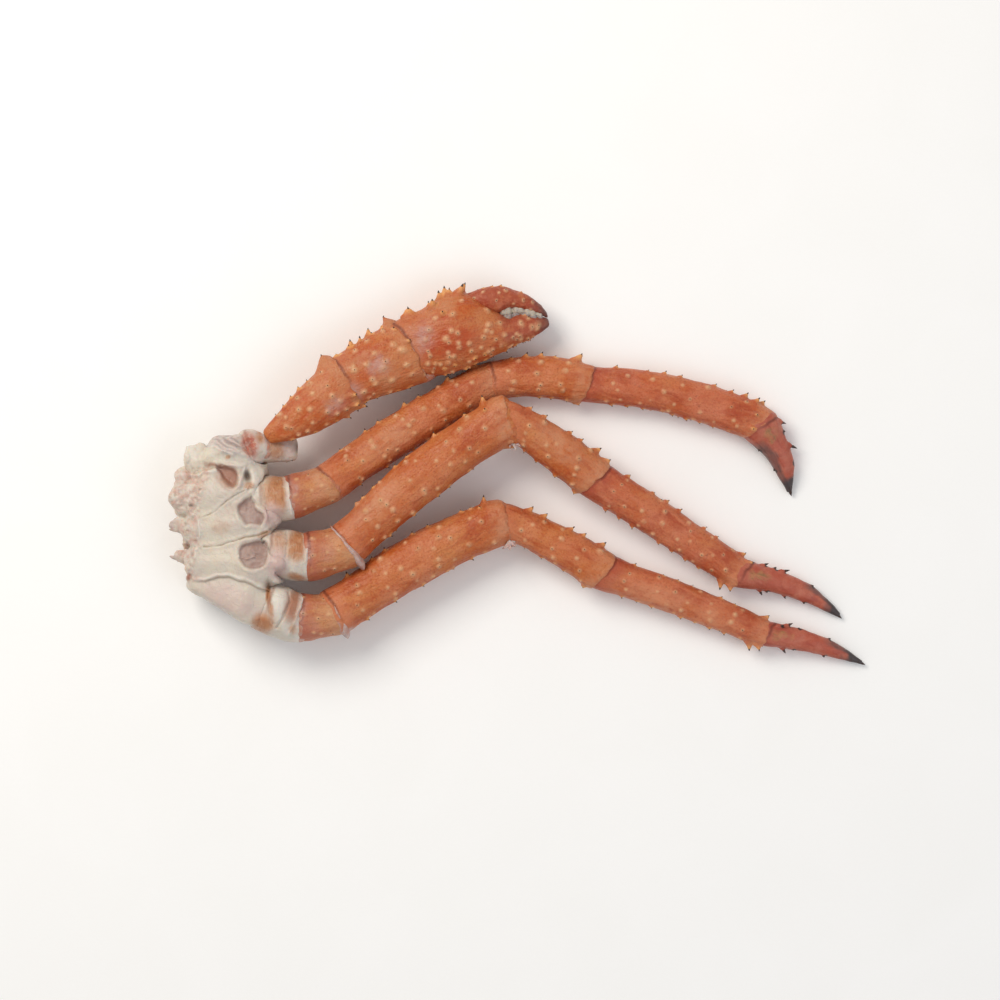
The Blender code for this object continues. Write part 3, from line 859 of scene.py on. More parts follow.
leg_shell = boiled_shell(
    "boiled leg shell", "#B85C24", "#C87F4C", "#CA7B55", "#A6431A", "#C98C68", "#C67853")
far_leg_shell = boiled_shell(
    "boiled outer leg shell", "#BA5A30", "#C77C50", "#CA7A5B", "#A34326", "#D08C67", "#A84832")
claw_shell = boiled_shell(
    "boiled claw shell", "#B95A24", "#C27F4C", "#C48058", "#AB3F15", "#BC7C55", "#B96B45", cream=0.9)
hip_shell = boiled_shell(
    "boiled hip shell", "#C47F4E", "#C98E60", "#C48672", "#AE5C38", "#C4926C", "#B0614E")
print("shell finishes:", leg_shell.name, far_leg_shell.name, claw_shell.name, hip_shell.name, sep=" / ")


# %% Toe shell
# A toe is the most deeply coloured piece. It has olive flutes near its joint, a dusky edge, and a horn tip.
coat = Finish("toe shell", 0.38, 0.35, 0.12, 1.2)
coat.layered("#AE5540", (
    (coat.clouds(9, 0.40, 0.65, 0.8), "#BC6F58"),
    (coat.streaks(4, 0.5, 0.7, 0.6), "#953A2C"),
    (coat.clouds(3, 0.25, 0.55, coat.painted("flute", 0.7, 0.1, 0.9)), "#B07C50"),
    (coat.streaks(1.8, 0.50, 0.62, coat.painted("flute", 0.7, 0.1, 0.9)), "#84673E"),
    (coat.clouds(1.2, 0.5, 0.8, 0.35), "#7E2C20"),
    (coat.painted("dusk", 0.75, 0.1, 1.0), "#6B4F4B"),
    (coat.streaks(2.5, 0.45, 0.65, coat.painted("dusk", 0.6, 0.2, 0.9)), "#54413E"),
    (coat.painted("tip"), "#443B3C"),
    # painted shade under a joint's lip, with a darker joint colour
    (coat.painted("crease", 0.7, 0.2, 1.0), "#5A2016"),
    (coat.painted("spine", 0.95, 0.15, 0.6), "#3C2824"),
))
coat.roughened(0.32, 0.50, 5)
coat.relief(((coat.grains(1.1, 0.6), 0.08), (coat.streaks(2.5, 0.3, 0.7), 0.2)))
toes = coat.made

# %% Horn
# Bare horn has no chalk in it: nearly black, smooth, and brown where it is thin.
coat = Finish("horn", 0.36, 0.4, 0.0, 1.0)
coat.layered("#33221E", ((coat.clouds(2, 0.4, 0.7), "#4A3026"),))
horn = coat.made

# %% Breastplate
# Chalky shell with little pigment. Thin places show the flesh as mauve, seams are brown, breaks are pink,
# and the hips have tan panels.
# Painted shade darkens pits, creases, step feet and fold valleys; painted highlight lightens fold crests.
coat = Finish("breastplate", 0.46, 0.42, 0.35, 2.4)
across = add(coat.tree, "ShaderNodeMapping", {
    "Vector": coat.place, "Scale": (1.0, 0.22, 0.22)}).outputs["Vector"]
coat.layered("#D0C6B8", (
    (coat.clouds(15, 0.40, 0.65, 0.7), "#C9BCB4"),
    (coat.clouds(24, 0.50, 0.70, 0.6), "#D7CDBA"),
    (coat.clouds(7, 0.55, 0.75, 0.35), "#C9AA9A"),
    (coat.clouds(1.6, 0.50, 0.80, 0.30), "#B3A798"),
    (coat.painted("white", 0.8), "#DAD3CA"),
    (coat.clouds(6, 0.05, 0.40, coat.painted("tan", 0.95)), "#B67A4E"),
    (coat.clouds(4, 0.50, 0.70, coat.painted("tan", 0.6)), "#A9663F"),
    (coat.clouds(1.5, 0.52, 0.66, coat.painted("tan", 0.55), place=across), "#96603C"),
    (coat.clouds(1.2, 0.54, 0.70, coat.painted("tan", 0.4), place=across), "#CFA98A"),
    (coat.clouds(5.0, 0.42, 0.66, coat.painted("ragged", 0.6)), "#C69C8E"),
    (coat.clouds(2.2, 0.52, 0.72, coat.painted("ragged", 0.45)), "#B97F70"),
    (coat.clouds(3.6, 0.60, 0.70, coat.painted("ragged", 0.45)), "#9A7864"),
    (coat.painted("grey", 0.75), "#B5A6A2"),
    # painted shade in the fold valleys, then painted highlight on the fold crests
    (coat.painted("fold", 0.7, 0.45, 1.0), "#9F8A86"),
    (coat.painted("fold", coat.painted("grey", 0.6), 0.40, 0.0), "#CFC0B8"),
    (coat.painted("rose", 0.85), "#C7ABA5"),
    (coat.clouds(3, 0.2, 0.5, coat.painted("flesh", 0.95)), "#AE5740"),
    (coat.clouds(2, 0.5, 0.66, coat.painted("flesh", 0.8)), "#C89A80"),
    (coat.clouds(5, 0.3, 0.55, coat.painted("stain", 0.8)), "#8C5138"),
    (coat.painted("hollow", 0.85), "#AE938B"),
    (coat.clouds(7, 0.42, 0.64, coat.painted("hollow", 0.65)), "#967569"),
    (coat.clouds(4, 0.05, 0.4, coat.painted("umber", 0.9)), "#A1674A"),
    (coat.painted("rim", 0.8, 0.82, 1.0), "#DCD2C8"),
    (coat.painted("meat", 0.9), "#D9C6B2"),
    # brown seams, and painted shadow at the foot of each step
    (coat.clouds(7, 0.25, 0.5, coat.painted("seam", 0.85, 0.15, 0.9)), "#8C7450"),
    # painted shade under the lip where a hip leaves the body, with a darker joint colour
    (coat.painted("crease", 0.55, 0.2, 1.0), "#8A4F3C"),
    # painted shade in the pits and openings
    (coat.painted("pit", 0.85), "#543A2E"),
    (coat.painted("spine", 0.5, 0.1, 0.8), "#C9A27C"),
))
coat.roughened(0.33, 0.52, 7)
coat.relief(((coat.clouds(1.1, 0.3, 0.7), 0.08), (coat.clouds(4.0, 0.3, 0.7), 0.30)))
chalk = coat.made

# %% Soft skin and teeth
# The skin in a joint is thin, wet chitin without chalk: orange over pigment, and whitish and lilac without.
coat = Finish("joint skin", 0.36, 0.4, 0.35, 2.0)
coat.layered("#B9602F", (
    (coat.clouds(4, 0.4, 0.65, 0.6), "#C88048"), (coat.clouds(1.6, 0.5, 0.7, 0.5), "#9C4722"),
    (coat.clouds(2.5, 0.1, 0.4, coat.painted("pale", 0.95)), "#BFA8A4"),
    (coat.clouds(1.5, 0.5, 0.65, coat.painted("pale", 0.6)), "#D3C6BC"),
))
coat.roughened(0.28, 0.45, 3)
coat.relief(((coat.clouds(1.2, 0.3, 0.7), 0.15),))
skin = coat.made

# The biting edges are chalky knobs, worn pale on top and grey between. The lower ones are greyer.
coat = Finish("tooth chalk", 0.42, 0.4, 0.2, 1.0)
coat.layered("#C1B6A4", (
    (coat.clouds(3.5, 0.42, 0.62, 0.8), "#A39A94"), (coat.clouds(1.2, 0.55, 0.7, 0.5), "#85776C"),
    (coat.clouds(4, 0.2, 0.5, coat.painted("stain", 0.8)), "#8C7F80")))
coat.relief(((coat.clouds(0.8, 0.3, 0.7), 0.08),))
teeth = coat.made

# The table is white board with a faint tooth.
coat = Finish("white board", 0.7, 0.3, 0.0, 1.0)
coat.layered("#FCFCFC", ((coat.clouds(60, 0.3, 0.7, 0.5), "#F9F9F8"),))
coat.relief(((coat.clouds(1.5, 0.3, 0.7), 0.02),))
table.data.materials.append(coat.made)
print("finishes:", len(bpy.data.materials))


# %% [markdown]
# ## Shape of the hand
# A crab's fingers bow outwards and meet at their tips, and between them is the mouth of the claw. The plain
# pieces are straight ovals, so their points are moved in the hand's own frame: along it from the wrist, and
# across it.

# %% Move the points of the two fingers
WRIST = np.array((-58.5, 68.5))      # as in the plain model, in millimetres
HAND_TURN = math.radians(12.0)
hand_way = np.array((math.cos(HAND_TURN), math.sin(HAND_TURN)))
hand_side = np.array((-math.sin(HAND_TURN), math.cos(HAND_TURN)))


def in_hand(points):
    """Places along and across the hand, in millimetres."""
    off = points[:, :2] / MM - WRIST
    return off @ hand_way, off @ hand_side


def shift_hand(points, along, across):
    """Move points along and across the hand by millimetres."""
    moved = points.copy()
    moved[:, :2] += (np.outer(along, hand_way) + np.outer(across, hand_side)) * MM
    return moved


def finger_shaped(points):
    """Fill out the movable finger's back, close its tip, and push its foot against the palm."""
    along, across = in_hand(points)
    middle = np.interp(along, (35.0, 43.5, 52.0, 60.5, 69.5, 77.5), (24.5, 22.0, 18.0, 15.3, 11.0, 4.5))
    outer = ease((across - middle) / 5.0 + 0.5)
    bow = (3.6 * hump(along - 72.5, 7.5) + 2.4 * hump(along - 59.0, 8.0)) * outer
    lift = (1.2 * hump(along - 58.0, 4.5) + 2.6 * ease((along - 50.0) / 16.0)) * (1.0 - outer)
    foot = 1.0 - ease((along - 38.0) / 14.0)
    hook = 1.5 * ease((along - 66.0) / 12.0) + 1.2 * ease((along - 74.5) / 4.5)
    return shift_hand(points, -1.0 * foot + 1.2 * ease((along - 70.0) / 8.0),
                      bow + lift - 1.6 * foot - hook)


def palm_shaped(points):
    """Hollow the fixed finger's edge at the corner of the mouth, and raise it beyond."""
    along, across = in_hand(points)
    middle = np.interp(along, (43.5, 52.5, 61.0, 69.5, 77.5), (4.0, 0.5, -0.2, -1.0, -0.8))
    upper = ease((across - middle) / 6.0)
    dip = (1.2 * hump(along - 57.5, 3.5) - 2.0 * ease((along - 57.0) / 6.0)
           + 0.5 * ease((along - 73.0) / 5.0))
    hook = 1.1 * ease((along - 66.0) / 12.0)
    return shift_hand(points, 1.2 * ease((along - 70.0) / 8.0),
                      hook - dip * upper * ease((along - 50.0) / 5.0))


# %% [markdown]
# ## The legs and the claw
# Each limb is a chain of pieces, and its joints give the two ends of each. The first piece of a limb, its
# coxa, belongs to the chalky breastplate, the second is tan, the long ones are orange, and the toe is red.


# %% Build every limb piece
def chain_points(names):
    """The two ends of each piece of a limb: its joints, and at the limb's own ends its furthest corners."""
    middle = [joints[pair].centre for pair in zip(names, names[1:])]
    first = points_of(frame["nodes"][names[0]])
    last = points_of(frame["nodes"][names[-1]])
    from_joint = np.linalg.norm(first - middle[0], axis=1)
    start = first[from_joint > 0.8 * from_joint.max()].mean(0)
    end = last[np.linalg.norm(last - middle[-1], axis=1).argmax()]
    stops = [start, *middle, end]
    return list(zip(stops, stops[1:]))


FINISHES = {              # material and slot of each kind of piece
    "coxa": (chalk, "pale_shell"), "ischium": (hip_shell, "tan_shell"), "merus": (leg_shell, "red_shell"),
    "carpus": (leg_shell, "red_shell"), "propodus": (far_leg_shell, "red_shell"),
    "palm": (claw_shell, "red_shell"), "dactyl": (toes, "toe_shell"),
}
SPINE_SIZES = {"merus": 0.8, "carpus": 0.75, "propodus": 0.7, "dactyl": 0.75, "palm": 1.2}
OWN_SWELLS = {            # millimetres added to a piece's radius, where it differs
    "leg_2_carpus": -0.4, "leg_2_propodus": -0.5, "leg_1_propodus": -0.1, "leg_3_carpus": 0.1,
    "leg_3_propodus": 0.2, "leg_1_dactyl": 0.9,
}
limb_pieces = {}
ends = {}
for limb, names in LIMBS.items():
    for index, (name, (near, far)) in enumerate(zip(names, chain_points(names))):
        kind = name.split("_")[-1]
        near_joint = (names[index - 1] if index else BODY, name)
        near_joint = near_joint if near_joint in joints else None
        far_joint = (name, names[index + 1]) if index + 1 < len(names) else None
        shell, slot = FINISHES[kind]
        if limb == "claw_arm":
            shell = claw_shell
        if name == "claw_ischium":
            shell = chalk
        piece = grown_shell(
            name, near, far, CLAW_ROWS.get(name, LOW_ROWS.get(kind, ())), shell, slot,
            near_joint, far_joint,
            spine_size=SPINE_SIZES.get(kind, 1.0), dots=0.5 if limb == "claw_arm" else 0.3,
            voxel=FINE_VOXEL if kind in ("dactyl", "coxa") else VOXEL,
            swell=OWN_SWELLS.get(name, SWELL), point_share=0.55 if kind == "dactyl" else 0.22,
            shape=palm_shaped if name == "claw_palm" else None)
        limb_pieces[name] = piece
        ends[name] = (near, far)
        print(piece.name, "corners:", len(piece.data.vertices))

finger = points_of(frame["nodes"]["claw_finger"])
ends["claw_finger"] = (finger[finger[:, 0].argmin()], finger[finger[:, 0].argmax()])
limb_pieces["claw_finger"] = grown_shell(
    "claw_finger", *ends["claw_finger"], CLAW_ROWS["claw_finger"], claw_shell, "red_shell", spine_size=0.6,
    dots=0.4, voxel=FINE_VOXEL, shape=finger_shaped)


# %% [markdown]
# ## Toes and finger tips
# A toe ends in bare horn and has a dusky edge. Near its joint are olive flutes, where the shell is thin.
# The claw's tips are grey-brown horn, and its fingers are flushed with red.


# %% Paint tips, flutes and flushes
def at_share(points, name):
    """Where points are on a limb piece: its share along, and across in shares of its half width."""
    near, far = ends[name]
    heading, left, _ = frame_of(near, far)
    arms = points - near
    across = arms @ left
    return arms @ heading / np.linalg.norm(far - near), across / np.percentile(np.abs(across), 90)


def between_edges(along, across):
    """Place across a piece that bends: -1 on its right edge and 1 on its left one."""
    shares = np.linspace(0.03, 0.97, 24)
    slices = [across[np.abs(along - share) < 0.04] for share in shares]
    right = np.interp(along, shares, [np.percentile(part, 4) for part in slices])
    left = np.interp(along, shares, [np.percentile(part, 96) for part in slices])
    return (2.0 * across - left - right) / (left - right)


# which edge of each toe is dusky, and the share of its length at which that begins
DUSK_SIDE = {"leg_1_dactyl": (-1.0, 0.10), "leg_2_dactyl": (1.0, 0.50), "leg_3_dactyl": (1.0, 0.50)}
for name, (side, first) in DUSK_SIDE.items():
    piece = limb_pieces[name]
    points = points_of(piece)
    along, across = at_share(points, name)
    across = between_edges(along, across)
    wander = drift(points, 3.0 * MM, 5)
    paint(piece, "tip", ease((along + 0.05 * wander - 0.76) / 0.14))
    paint(piece, "dusk", ease((side * across + 0.12 * wander - 0.05) / 0.5) * ease((along - first) / 0.2))
    middle = ease((0.55 - np.abs(across - 0.1) + 0.3 * wander) / 0.5)
    paint(piece, "flute", middle * ease((along - 0.02) / 0.08)
          * ease((0.30 - along + 0.06 * wander) / 0.14))

for name in ("claw_palm", "claw_finger"):
    points = points_of(limb_pieces[name])
    along, across = in_hand(points)
    wander = drift(points, 3.0 * MM, 6)
    paint(limb_pieces[name], "tip", ease((along + 2.0 * wander - 67.0) / 13.0) ** 1.3)
    red = ease((along + 4.0 * wander - (47.0 if name == "claw_palm" else 0.0)) / 9.0)
    if name == "claw_palm":
        red *= ease((across + 11.0 + 2.0 * wander) / 9.0)
    paint(limb_pieces[name], "flush", red)


# %% Horn tips of the toes
TIPS = {                  # radius, height and how far back it is set, in millimetres
    "leg_1_dactyl": (1.9, 6.0, 2.2), "leg_2_dactyl": (1.4, 5.0, 1.8), "leg_3_dactyl": (1.4, 5.0, 1.8),
}
for name, (radius, height, back) in TIPS.items():
    piece = limb_pieces[name]
    points = points_of(piece)
    away = np.linalg.norm(points - ends[name][1], axis=1)
    end = points[away < 2.4 * MM].mean(0)
    way = unit(end - points[(away > 6.0 * MM) & (away < 9.0 * MM)].mean(0))
    joined(piece, dark_points([(end - way * back * MM, way, radius * MM, height * MM)], horn))
    print(name, "length in mm:", round(float(np.linalg.norm(ends[name][1] - ends[name][0])) / MM, 1))


# %% [markdown]
# ## Reading the underside
# Seen from below, a crab's body is a breastplate of five pale plates, one for each limb, growing together
# in thin brown seams. Thin-walled hollows show the darker flesh through the shell, soft bulges of skin
# stand beside them, and the hips carry tan panels. All of it is drawn as a map in millimetres, seen from
# above: open lines for seams and ridges, outlines for hollows, and ovals for bulges, pits and patches of
# colour. The map is read through a little random drift, because nothing on a shell is ruler-straight.

# %% The map of lines
SEAMS = (
    ((-174.0, -23.9), (-170.2, -22.0), (-167.2, -20.5), (-164.2, -18.4), (-161.6, -16.4), (-159.0, -14.1),
     (-156.9, -11.9), (-153.9, -10.4), (-151.3, -8.5)),
    ((-174.0, -40.6), (-167.6, -40.0), (-161.6, -38.5), (-156.4, -36.8), (-150.4, -34.8), (-144.4, -33.7),
     (-138.4, -32.5)),
)
STEPS = (                 # lines whose right side stands higher: the path, and how far the other side drops
    (((-193.3, -1.8), (-189.0, 1.6), (-184.7, 1.2), (-181.3, 0.1), (-176.2, 0.9), (-173.6, 2.5),
      (-167.6, 3.1)), 1.6),
    (((-139.5, -64.0), (-144.9, -61.7), (-152.2, -58.6), (-159.0, -56.7), (-165.9, -56.7), (-173.6, -59.7),
      (-180.0, -59.6), (-187.0, -58.0)), 1.8),
)
RIDGES = (                # path, height and half width in millimetres
    (((-161.6, 5.5), (-155.6, 5.0), (-150.4, 4.3), (-150.2, 2.0), (-151.3, -1.0), (-152.8, -3.5),
      (-154.7, -6.3)), 1.1, 1.0),
    (((-168.0, 19.6), (-160.7, 16.2), (-153.9, 12.7)), 0.8, 0.7),
    (((-165.9, 23.0), (-157.3, 18.7), (-152.6, 15.3)), 0.8, 0.7),
    (((-163.3, 24.7), (-155.6, 21.3), (-152.2, 19.2)), 0.7, 0.6),
    (((-171.0, 17.0), (-164.2, 14.0), (-157.3, 10.9)), 0.8, 0.8),
    (((-161.6, 14.0), (-153.9, 12.7), (-146.2, 8.5), (-141.9, 6.3)), 2.2, 1.7),
    (((-127.5, 2.5), (-126.4, -5.3), (-125.6, -13.0), (-124.3, -22.8)), 0.9, 0.8),
    (((-114.6, -31.8), (-115.3, -39.5), (-117.0, -49.0)), 0.8, 0.8),
    (((-117.4, -67.0), (-120.4, -75.5), (-126.0, -89.3)), 0.9, 0.8),
    (((-176.6, -26.7), (-176.3, -31.0), (-176.2, -35.3)), 0.9, 0.6),
    (((-177.9, -41.3), (-178.3, -43.8), (-178.9, -46.8)), 0.8, 0.6),
    (((-181.5, -6.0), (-182.5, -11.0), (-181.8, -15.0)), 0.8, 0.8),
    (((-150.4, -7.8), (-148.3, -5.3), (-145.7, -7.0)), 0.9, 0.7),
    (((-183.9, 15.7), (-181.7, 10.2), (-182.6, 6.3)), -0.9, 0.8),
    (((-153.7, -45.4), (-150.0, -46.6), (-145.7, -45.4)), 1.3, 0.6),
    (((-130.0, -59.0), (-127.2, -63.5), (-126.2, -71.0), (-128.6, -79.0), (-133.0, -85.5)), -1.4, 0.8),
    (((-135.6, -60.0), (-137.2, -66.0), (-137.4, -76.0), (-135.4, -83.5)), -1.0, 0.7),
    (((-140.4, -2.5), (-139.4, -10.0), (-138.8, -18.5)), -0.8, 0.6),
    (((-128.6, -31.5), (-127.6, -38.0), (-127.2, -45.5)), -0.8, 0.6),
    (((-120.2, -79.0), (-118.8, -72.0), (-116.2, -66.5)), -0.9, 0.6),
)
HOLLOWS = (               # outline and depth
    (((-166.9, 5.0), (-164.2, 5.2), (-160.7, 4.6), (-157.3, 3.7), (-155.2, 2.0), (-154.1, -0.5),
      (-154.3, -3.1), (-155.6, -5.4), (-157.3, -7.3), (-159.0, -6.8), (-161.2, -5.1), (-163.3, -2.7),
      (-165.0, 0.3)), 3.2),
    (((-155.0, -17.4), (-154.2, -15.7), (-150.4, -13.5), (-146.8, -11.3), (-146.2, -13.7), (-144.6, -15.7),
      (-144.6, -18.1), (-140.0, -22.0), (-139.5, -24.3), (-140.5, -27.1), (-141.9, -29.1), (-147.0, -27.7),
      (-150.0, -28.1), (-151.7, -26.7), (-153.0, -23.9), (-154.3, -20.9)), 2.4),
    (((-154.2, -44.3), (-154.0, -42.1), (-152.8, -39.5), (-150.9, -38.0), (-147.0, -37.1), (-142.7, -36.5),
      (-139.7, -36.8), (-137.6, -38.5), (-137.1, -41.1), (-138.3, -47.3), (-139.5, -50.3), (-141.7, -52.4),
      (-144.4, -53.3), (-147.9, -52.7), (-150.9, -51.1), (-153.9, -46.8)), 2.4),
)
RAGGED_LINE = ((-168.4, 4.2), (-169.3, -2.7), (-173.6, -14.7), (-174.4, -24.1), (-176.2, -31.8),
               (-173.6, -40.4), (-177.0, -43.8), (-177.9, -52.4), (-175.6, -57.5))
STAIN_LINE = ((-172.8, 5.9), (-169.5, 5.6), (-166.5, 4.6), (-164.0, 2.0))

# %% The map of ovals
# Each oval is its middle, its half lengths, its turn in degrees, and a strength or a height.
BULGES = (
    ((-135.4, -20.7), (4.6, 6.4), 0, 2.4), ((-132.3, -48.5), (5.4, 8.0), 0, 2.2),
    ((-132.0, -70.0), (4.4, 11.6), 0, 2.8), ((-184.0, 12.0), (6.5, 6.0), 0, 1.4),
    ((-129.4, -28.8), (5.0, 3.0), 0, 1.6), ((-127.3, -60.6), (5.5, 3.0), -20, 1.4),
    ((-161.6, 13.5), (2.6, 2.0), 0, 1.2), ((-158.0, 11.6), (2.0, 1.6), 0, 0.9),
    ((-187.0, -12.0), (5.0, 8.0), 0, 0.9), ((-144.8, -3.0), (2.6, 8.5), 4, 1.0),
    ((-128.5, -19.0), (4.5, 3.6), -20, 0.9), ((-121.7, -49.8), (4.0, 2.8), 0, 0.9),
    ((-133.2, -6.0), (5.6, 7.6), -4, -0.7), ((-121.7, -37.8), (5.0, 7.6), 0, -0.6),
    ((-147.4, 17.5), (4.0, 5.2), 20, -1.2), ((-183.0, -57.5), (3.0, 2.6), 0, 0.9),
    ((-141.4, -81.5), (5.0, 4.6), 0, 0.8), ((-160.0, -4.0), (3.0, 3.0), 0, -0.6),
)
# Pits are sunk into the shell, and their darkness is painted shade in the openings
PITS = (
    ((-149.0, -1.0), (1.8, 3.2), 8, 3.0), ((-135.2, -31.0), (2.6, 1.1), 0, 1.6),
    ((-137.6, -61.5), (1.6, 2.6), 0, 1.8), ((-120.0, 15.0), (3.4, 4.4), 0, 2.5),
    ((-140.8, -37.7), (1.0, 0.8), 0, 1.2), ((-180.9, -17.3), (1.2, 0.9), 0, 1.5),
    ((-180.6, -44.3), (1.0, 1.0), 0, 1.5), ((-176.5, -9.0), (0.9, 0.7), 0, 1.0),
    ((-184.0, -27.5), (0.9, 1.1), 0, 1.2),
)
PATCHES = {
    "tan": (((-132.6, -9.8), (8.0, 12.5), -4, 1.0), ((-121.0, -39.0), (7.0, 10.0), 0, 1.0),
            ((-131.5, -38.5), (4.0, 8.0), 0, 0.6), ((-137.6, -67.5), (1.8, 6.0), 0, 1.0),
            ((-141.2, -83.0), (6.4, 6.4), 0, 1.0), ((-141.5, 22.0), (3.6, 5.0), 0, 0.9),
            ((-134.0, 15.5), (5.0, 7.0), 0, 0.8), ((-140.0, -33.2), (4.0, 1.5), 12, 0.7),
            ((-148.3, -6.2), (3.6, 2.0), 0, 0.7), ((-160.0, 10.0), (1.4, 1.2), 0, 0.8),
            ((-122.5, -86.5), (4.0, 3.0), 0, 0.7), ((-164.0, -29.5), (5.0, 4.0), 0, 0.25),
            ((-122.5, -57.0), (5.0, 2.4), -15, 0.8), ((-136.5, -76.0), (1.8, 5.0), 10, 0.7)),
    "umber": (((-122.8, -72.5), (5.6, 11.0), -14, 1.0), ((-116.0, -41.0), (1.6, 5.0), -8, 0.8),
              ((-160.0, -1.5), (6.5, 7.0), 30, 0.75)),
    "rose": (((-135.6, -22.5), (5.6, 7.6), 0, 1.0), ((-132.6, -49.5), (6.2, 9.0), 0, 1.0),
             ((-160.0, -69.0), (19.0, 7.5), -22, 0.55), ((-144.0, -24.0), (5.0, 6.5), 0, 0.4),
             ((-126.0, 15.0), (4.0, 5.0), 0, 0.6)),
    "white": (((-132.0, -70.0), (4.9, 12.4), 0, 1.0), ((-127.3, -60.1), (6.0, 3.6), 0, 0.8),
              ((-127.3, -86.2), (3.0, 4.0), 0, 0.9), ((-144.8, -4.0), (3.0, 9.5), 4, 0.7),
              ((-128.5, -19.0), (5.5, 4.4), -20, 0.8), ((-129.4, -28.8), (5.6, 3.5), 0, 0.7),
              ((-121.7, -49.8), (5.0, 3.4), 0, 0.9), ((-184.0, 12.0), (7.0, 6.0), 0, 0.7),
              ((-158.0, 12.5), (6.0, 3.0), -20, 0.8), ((-149.5, 9.5), (7.0, 2.0), -28, 0.9)),
    "flesh": (((-148.4, 16.6), (4.6, 7.6), 18, 1.0), ((-150.5, 21.5), (3.4, 1.8), 0, 0.7)),
    "grey": (((-161.5, 19.0), (10.5, 5.6), -27, 1.0), ((-171.0, 18.5), (4.0, 3.4), 0, 0.6),
             ((-146.0, -45.0), (3.0, 3.4), 0, 0.5), ((-194.0, -26.0), (4.0, 7.0), 0, 0.9),
             ((-193.0, -46.0), (4.0, 3.0), 0, 0.8)),
    "stain": (((-183.0, -57.5), (2.6, 2.2), 0, 1.0), ((-163.5, 4.6), (3.0, 1.4), -10, 0.9),
              ((-151.5, -16.5), (3.0, 2.0), 30, 0.6), ((-143.5, -51.0), (4.5, 1.8), -10, 0.9)),
}
DRIFT = 0.55              # millimetres by which the map's lines wander


# %% Reading the map
def wandered(points):
    """Places on the map, in millimetres, moved by a little random drift."""
    near, far = drift_pair(points, 3.5 * MM, 11), drift_pair(points, 9.0 * MM, 13)
    return points[:, :2] / MM + DRIFT * near + DRIFT * far


def away_from(spots, path):
    """Distance from a path, in millimetres, positive on its left."""
    best = np.full(len(spots), 1e9)
    signed = np.zeros(len(spots))
    for start, end in zip(path, path[1:]):
        start, end = np.array(start), np.array(end)
        along = end - start
        share = np.clip(((spots - start) @ along) / (along @ along), 0.0, 1.0)
        gap = spots - start - share[:, None] * along
        distance = np.hypot(gap[:, 0], gap[:, 1])
        side = np.sign(along[0] * gap[:, 1] - along[1] * gap[:, 0])
        nearer = distance < best
        best[nearer] = distance[nearer]
        signed[nearer] = (distance * side)[nearer]
    return signed


def inside_of(spots, outline):
    """Depth inside a closed outline, in millimetres, negative outside it."""
    distance = np.abs(away_from(spots, [*outline, outline[0]]))
    inside = np.zeros(len(spots), bool)
    for (x0, y0), (x1, y1) in zip(outline, [*outline[1:], outline[0]]):
        crosses = (y0 > spots[:, 1]) != (y1 > spots[:, 1])
        inside ^= crosses & (spots[:, 0] < (x1 - x0) * (spots[:, 1] - y0) / (y1 - y0 + 1e-9) + x0)
    return np.where(inside, distance, -distance)


def oval(spots, middle, halves, turn, sharpness=1.0):
    """1 in the middle of an oval and falling off past its edge."""
    off = spots - np.array(middle)
    angle = math.radians(turn)
    along = off[:, 0] * math.cos(angle) + off[:, 1] * math.sin(angle)
    across = off[:, 1] * math.cos(angle) - off[:, 0] * math.sin(angle)
    out = (along / halves[0]) ** 2 + (across / halves[1]) ** 2
    return np.exp(-out ** sharpness)


# %% Work the map into a shell
PALE_FROM = 0.75          # ridges higher than this are worn pale
RAGGED_END = -166.0       # the broken side ends here, in millimetres
HIP_TOP = 14.0            # above this height, in millimetres, the skin of a hip is its upper side
BODY_TOP = 24.0
TOP_OVER = 8.0            # millimetres over which the upper side begins


def add_lines(rise, points, spots):
    """Add seams, steps and ridges to rise, and tell where seams, painted step shadows and pale edges are.
    """
    seam, pale_edge = np.zeros(len(points)), np.zeros(len(points))
    fade = ease(1.1 - 0.9 * np.abs(drift(points, 6 * MM, 15)))
    for path in SEAMS:
        side = away_from(spots, path)
        rise += 0.35 * hump(side - 1.2, 0.9) + 0.25 * hump(side + 1.2, 0.9)
        rise -= 0.4 * hump(side, 0.45) * fade
        seam = np.maximum(seam, hump(side, 0.42) * fade)
    for path, drop in STEPS:
        side = away_from(spots, path)
        rise += 0.8 * hump(side + 0.9, 1.0)
        rise -= drop * ease((side + 0.4) / 1.6) * np.exp(-np.maximum(side, 0.0) / 5.0)
        # painted shadow along the foot of the step, in the seam colour
        seam = np.maximum(seam, 0.5 * hump(side - 0.5, 0.6))
        pale_edge = np.maximum(pale_edge, 0.9 * hump(side + 0.9, 0.9))
    for path, height, half_width in RIDGES:
        nearness = hump(away_from(spots, path), half_width)
        rise += height * nearness
        if height > PALE_FROM:
            pale_edge = np.maximum(pale_edge, 0.85 * nearness)
    return seam, pale_edge


def add_hollows(rise, spots):
    """Add hollows, bulges and pits to rise, and tell where the hollows are and where pits get painted
    shade.
    """
    hollow, pit = np.zeros(len(spots)), np.zeros(len(spots))
    for outline, depth in HOLLOWS:
        inside = inside_of(spots, outline)
        rise -= depth * ease((inside + 0.4) / 2.2)
        rise += 0.6 * hump(inside + 1.3, 1.1)
        hollow = np.maximum(hollow, ease((inside + 0.1) / 1.3))
    for middle, halves, turn, height in BULGES:
        rise += height * oval(spots, middle, halves, turn)
    for middle, halves, turn, depth in PITS:
        rise -= depth * oval(spots, middle, halves, turn)
        pit = np.maximum(pit, min(depth / 3.0, 1.0) * oval(spots, middle, halves, turn, 1.6))
    return hollow, pit


def ragged_side(points, spots):
    """1 on the torn side of the body, left of its line, and 0 elsewhere."""
    side = ease(-away_from(spots, RAGGED_LINE) / 3.5) * ease((points[:, 1] / MM + 62.0) / 6.0)
    return side * (ease((6.0 - points[:, 1] / MM) / 4.0) * (points[:, 0] / MM < RAGGED_END))


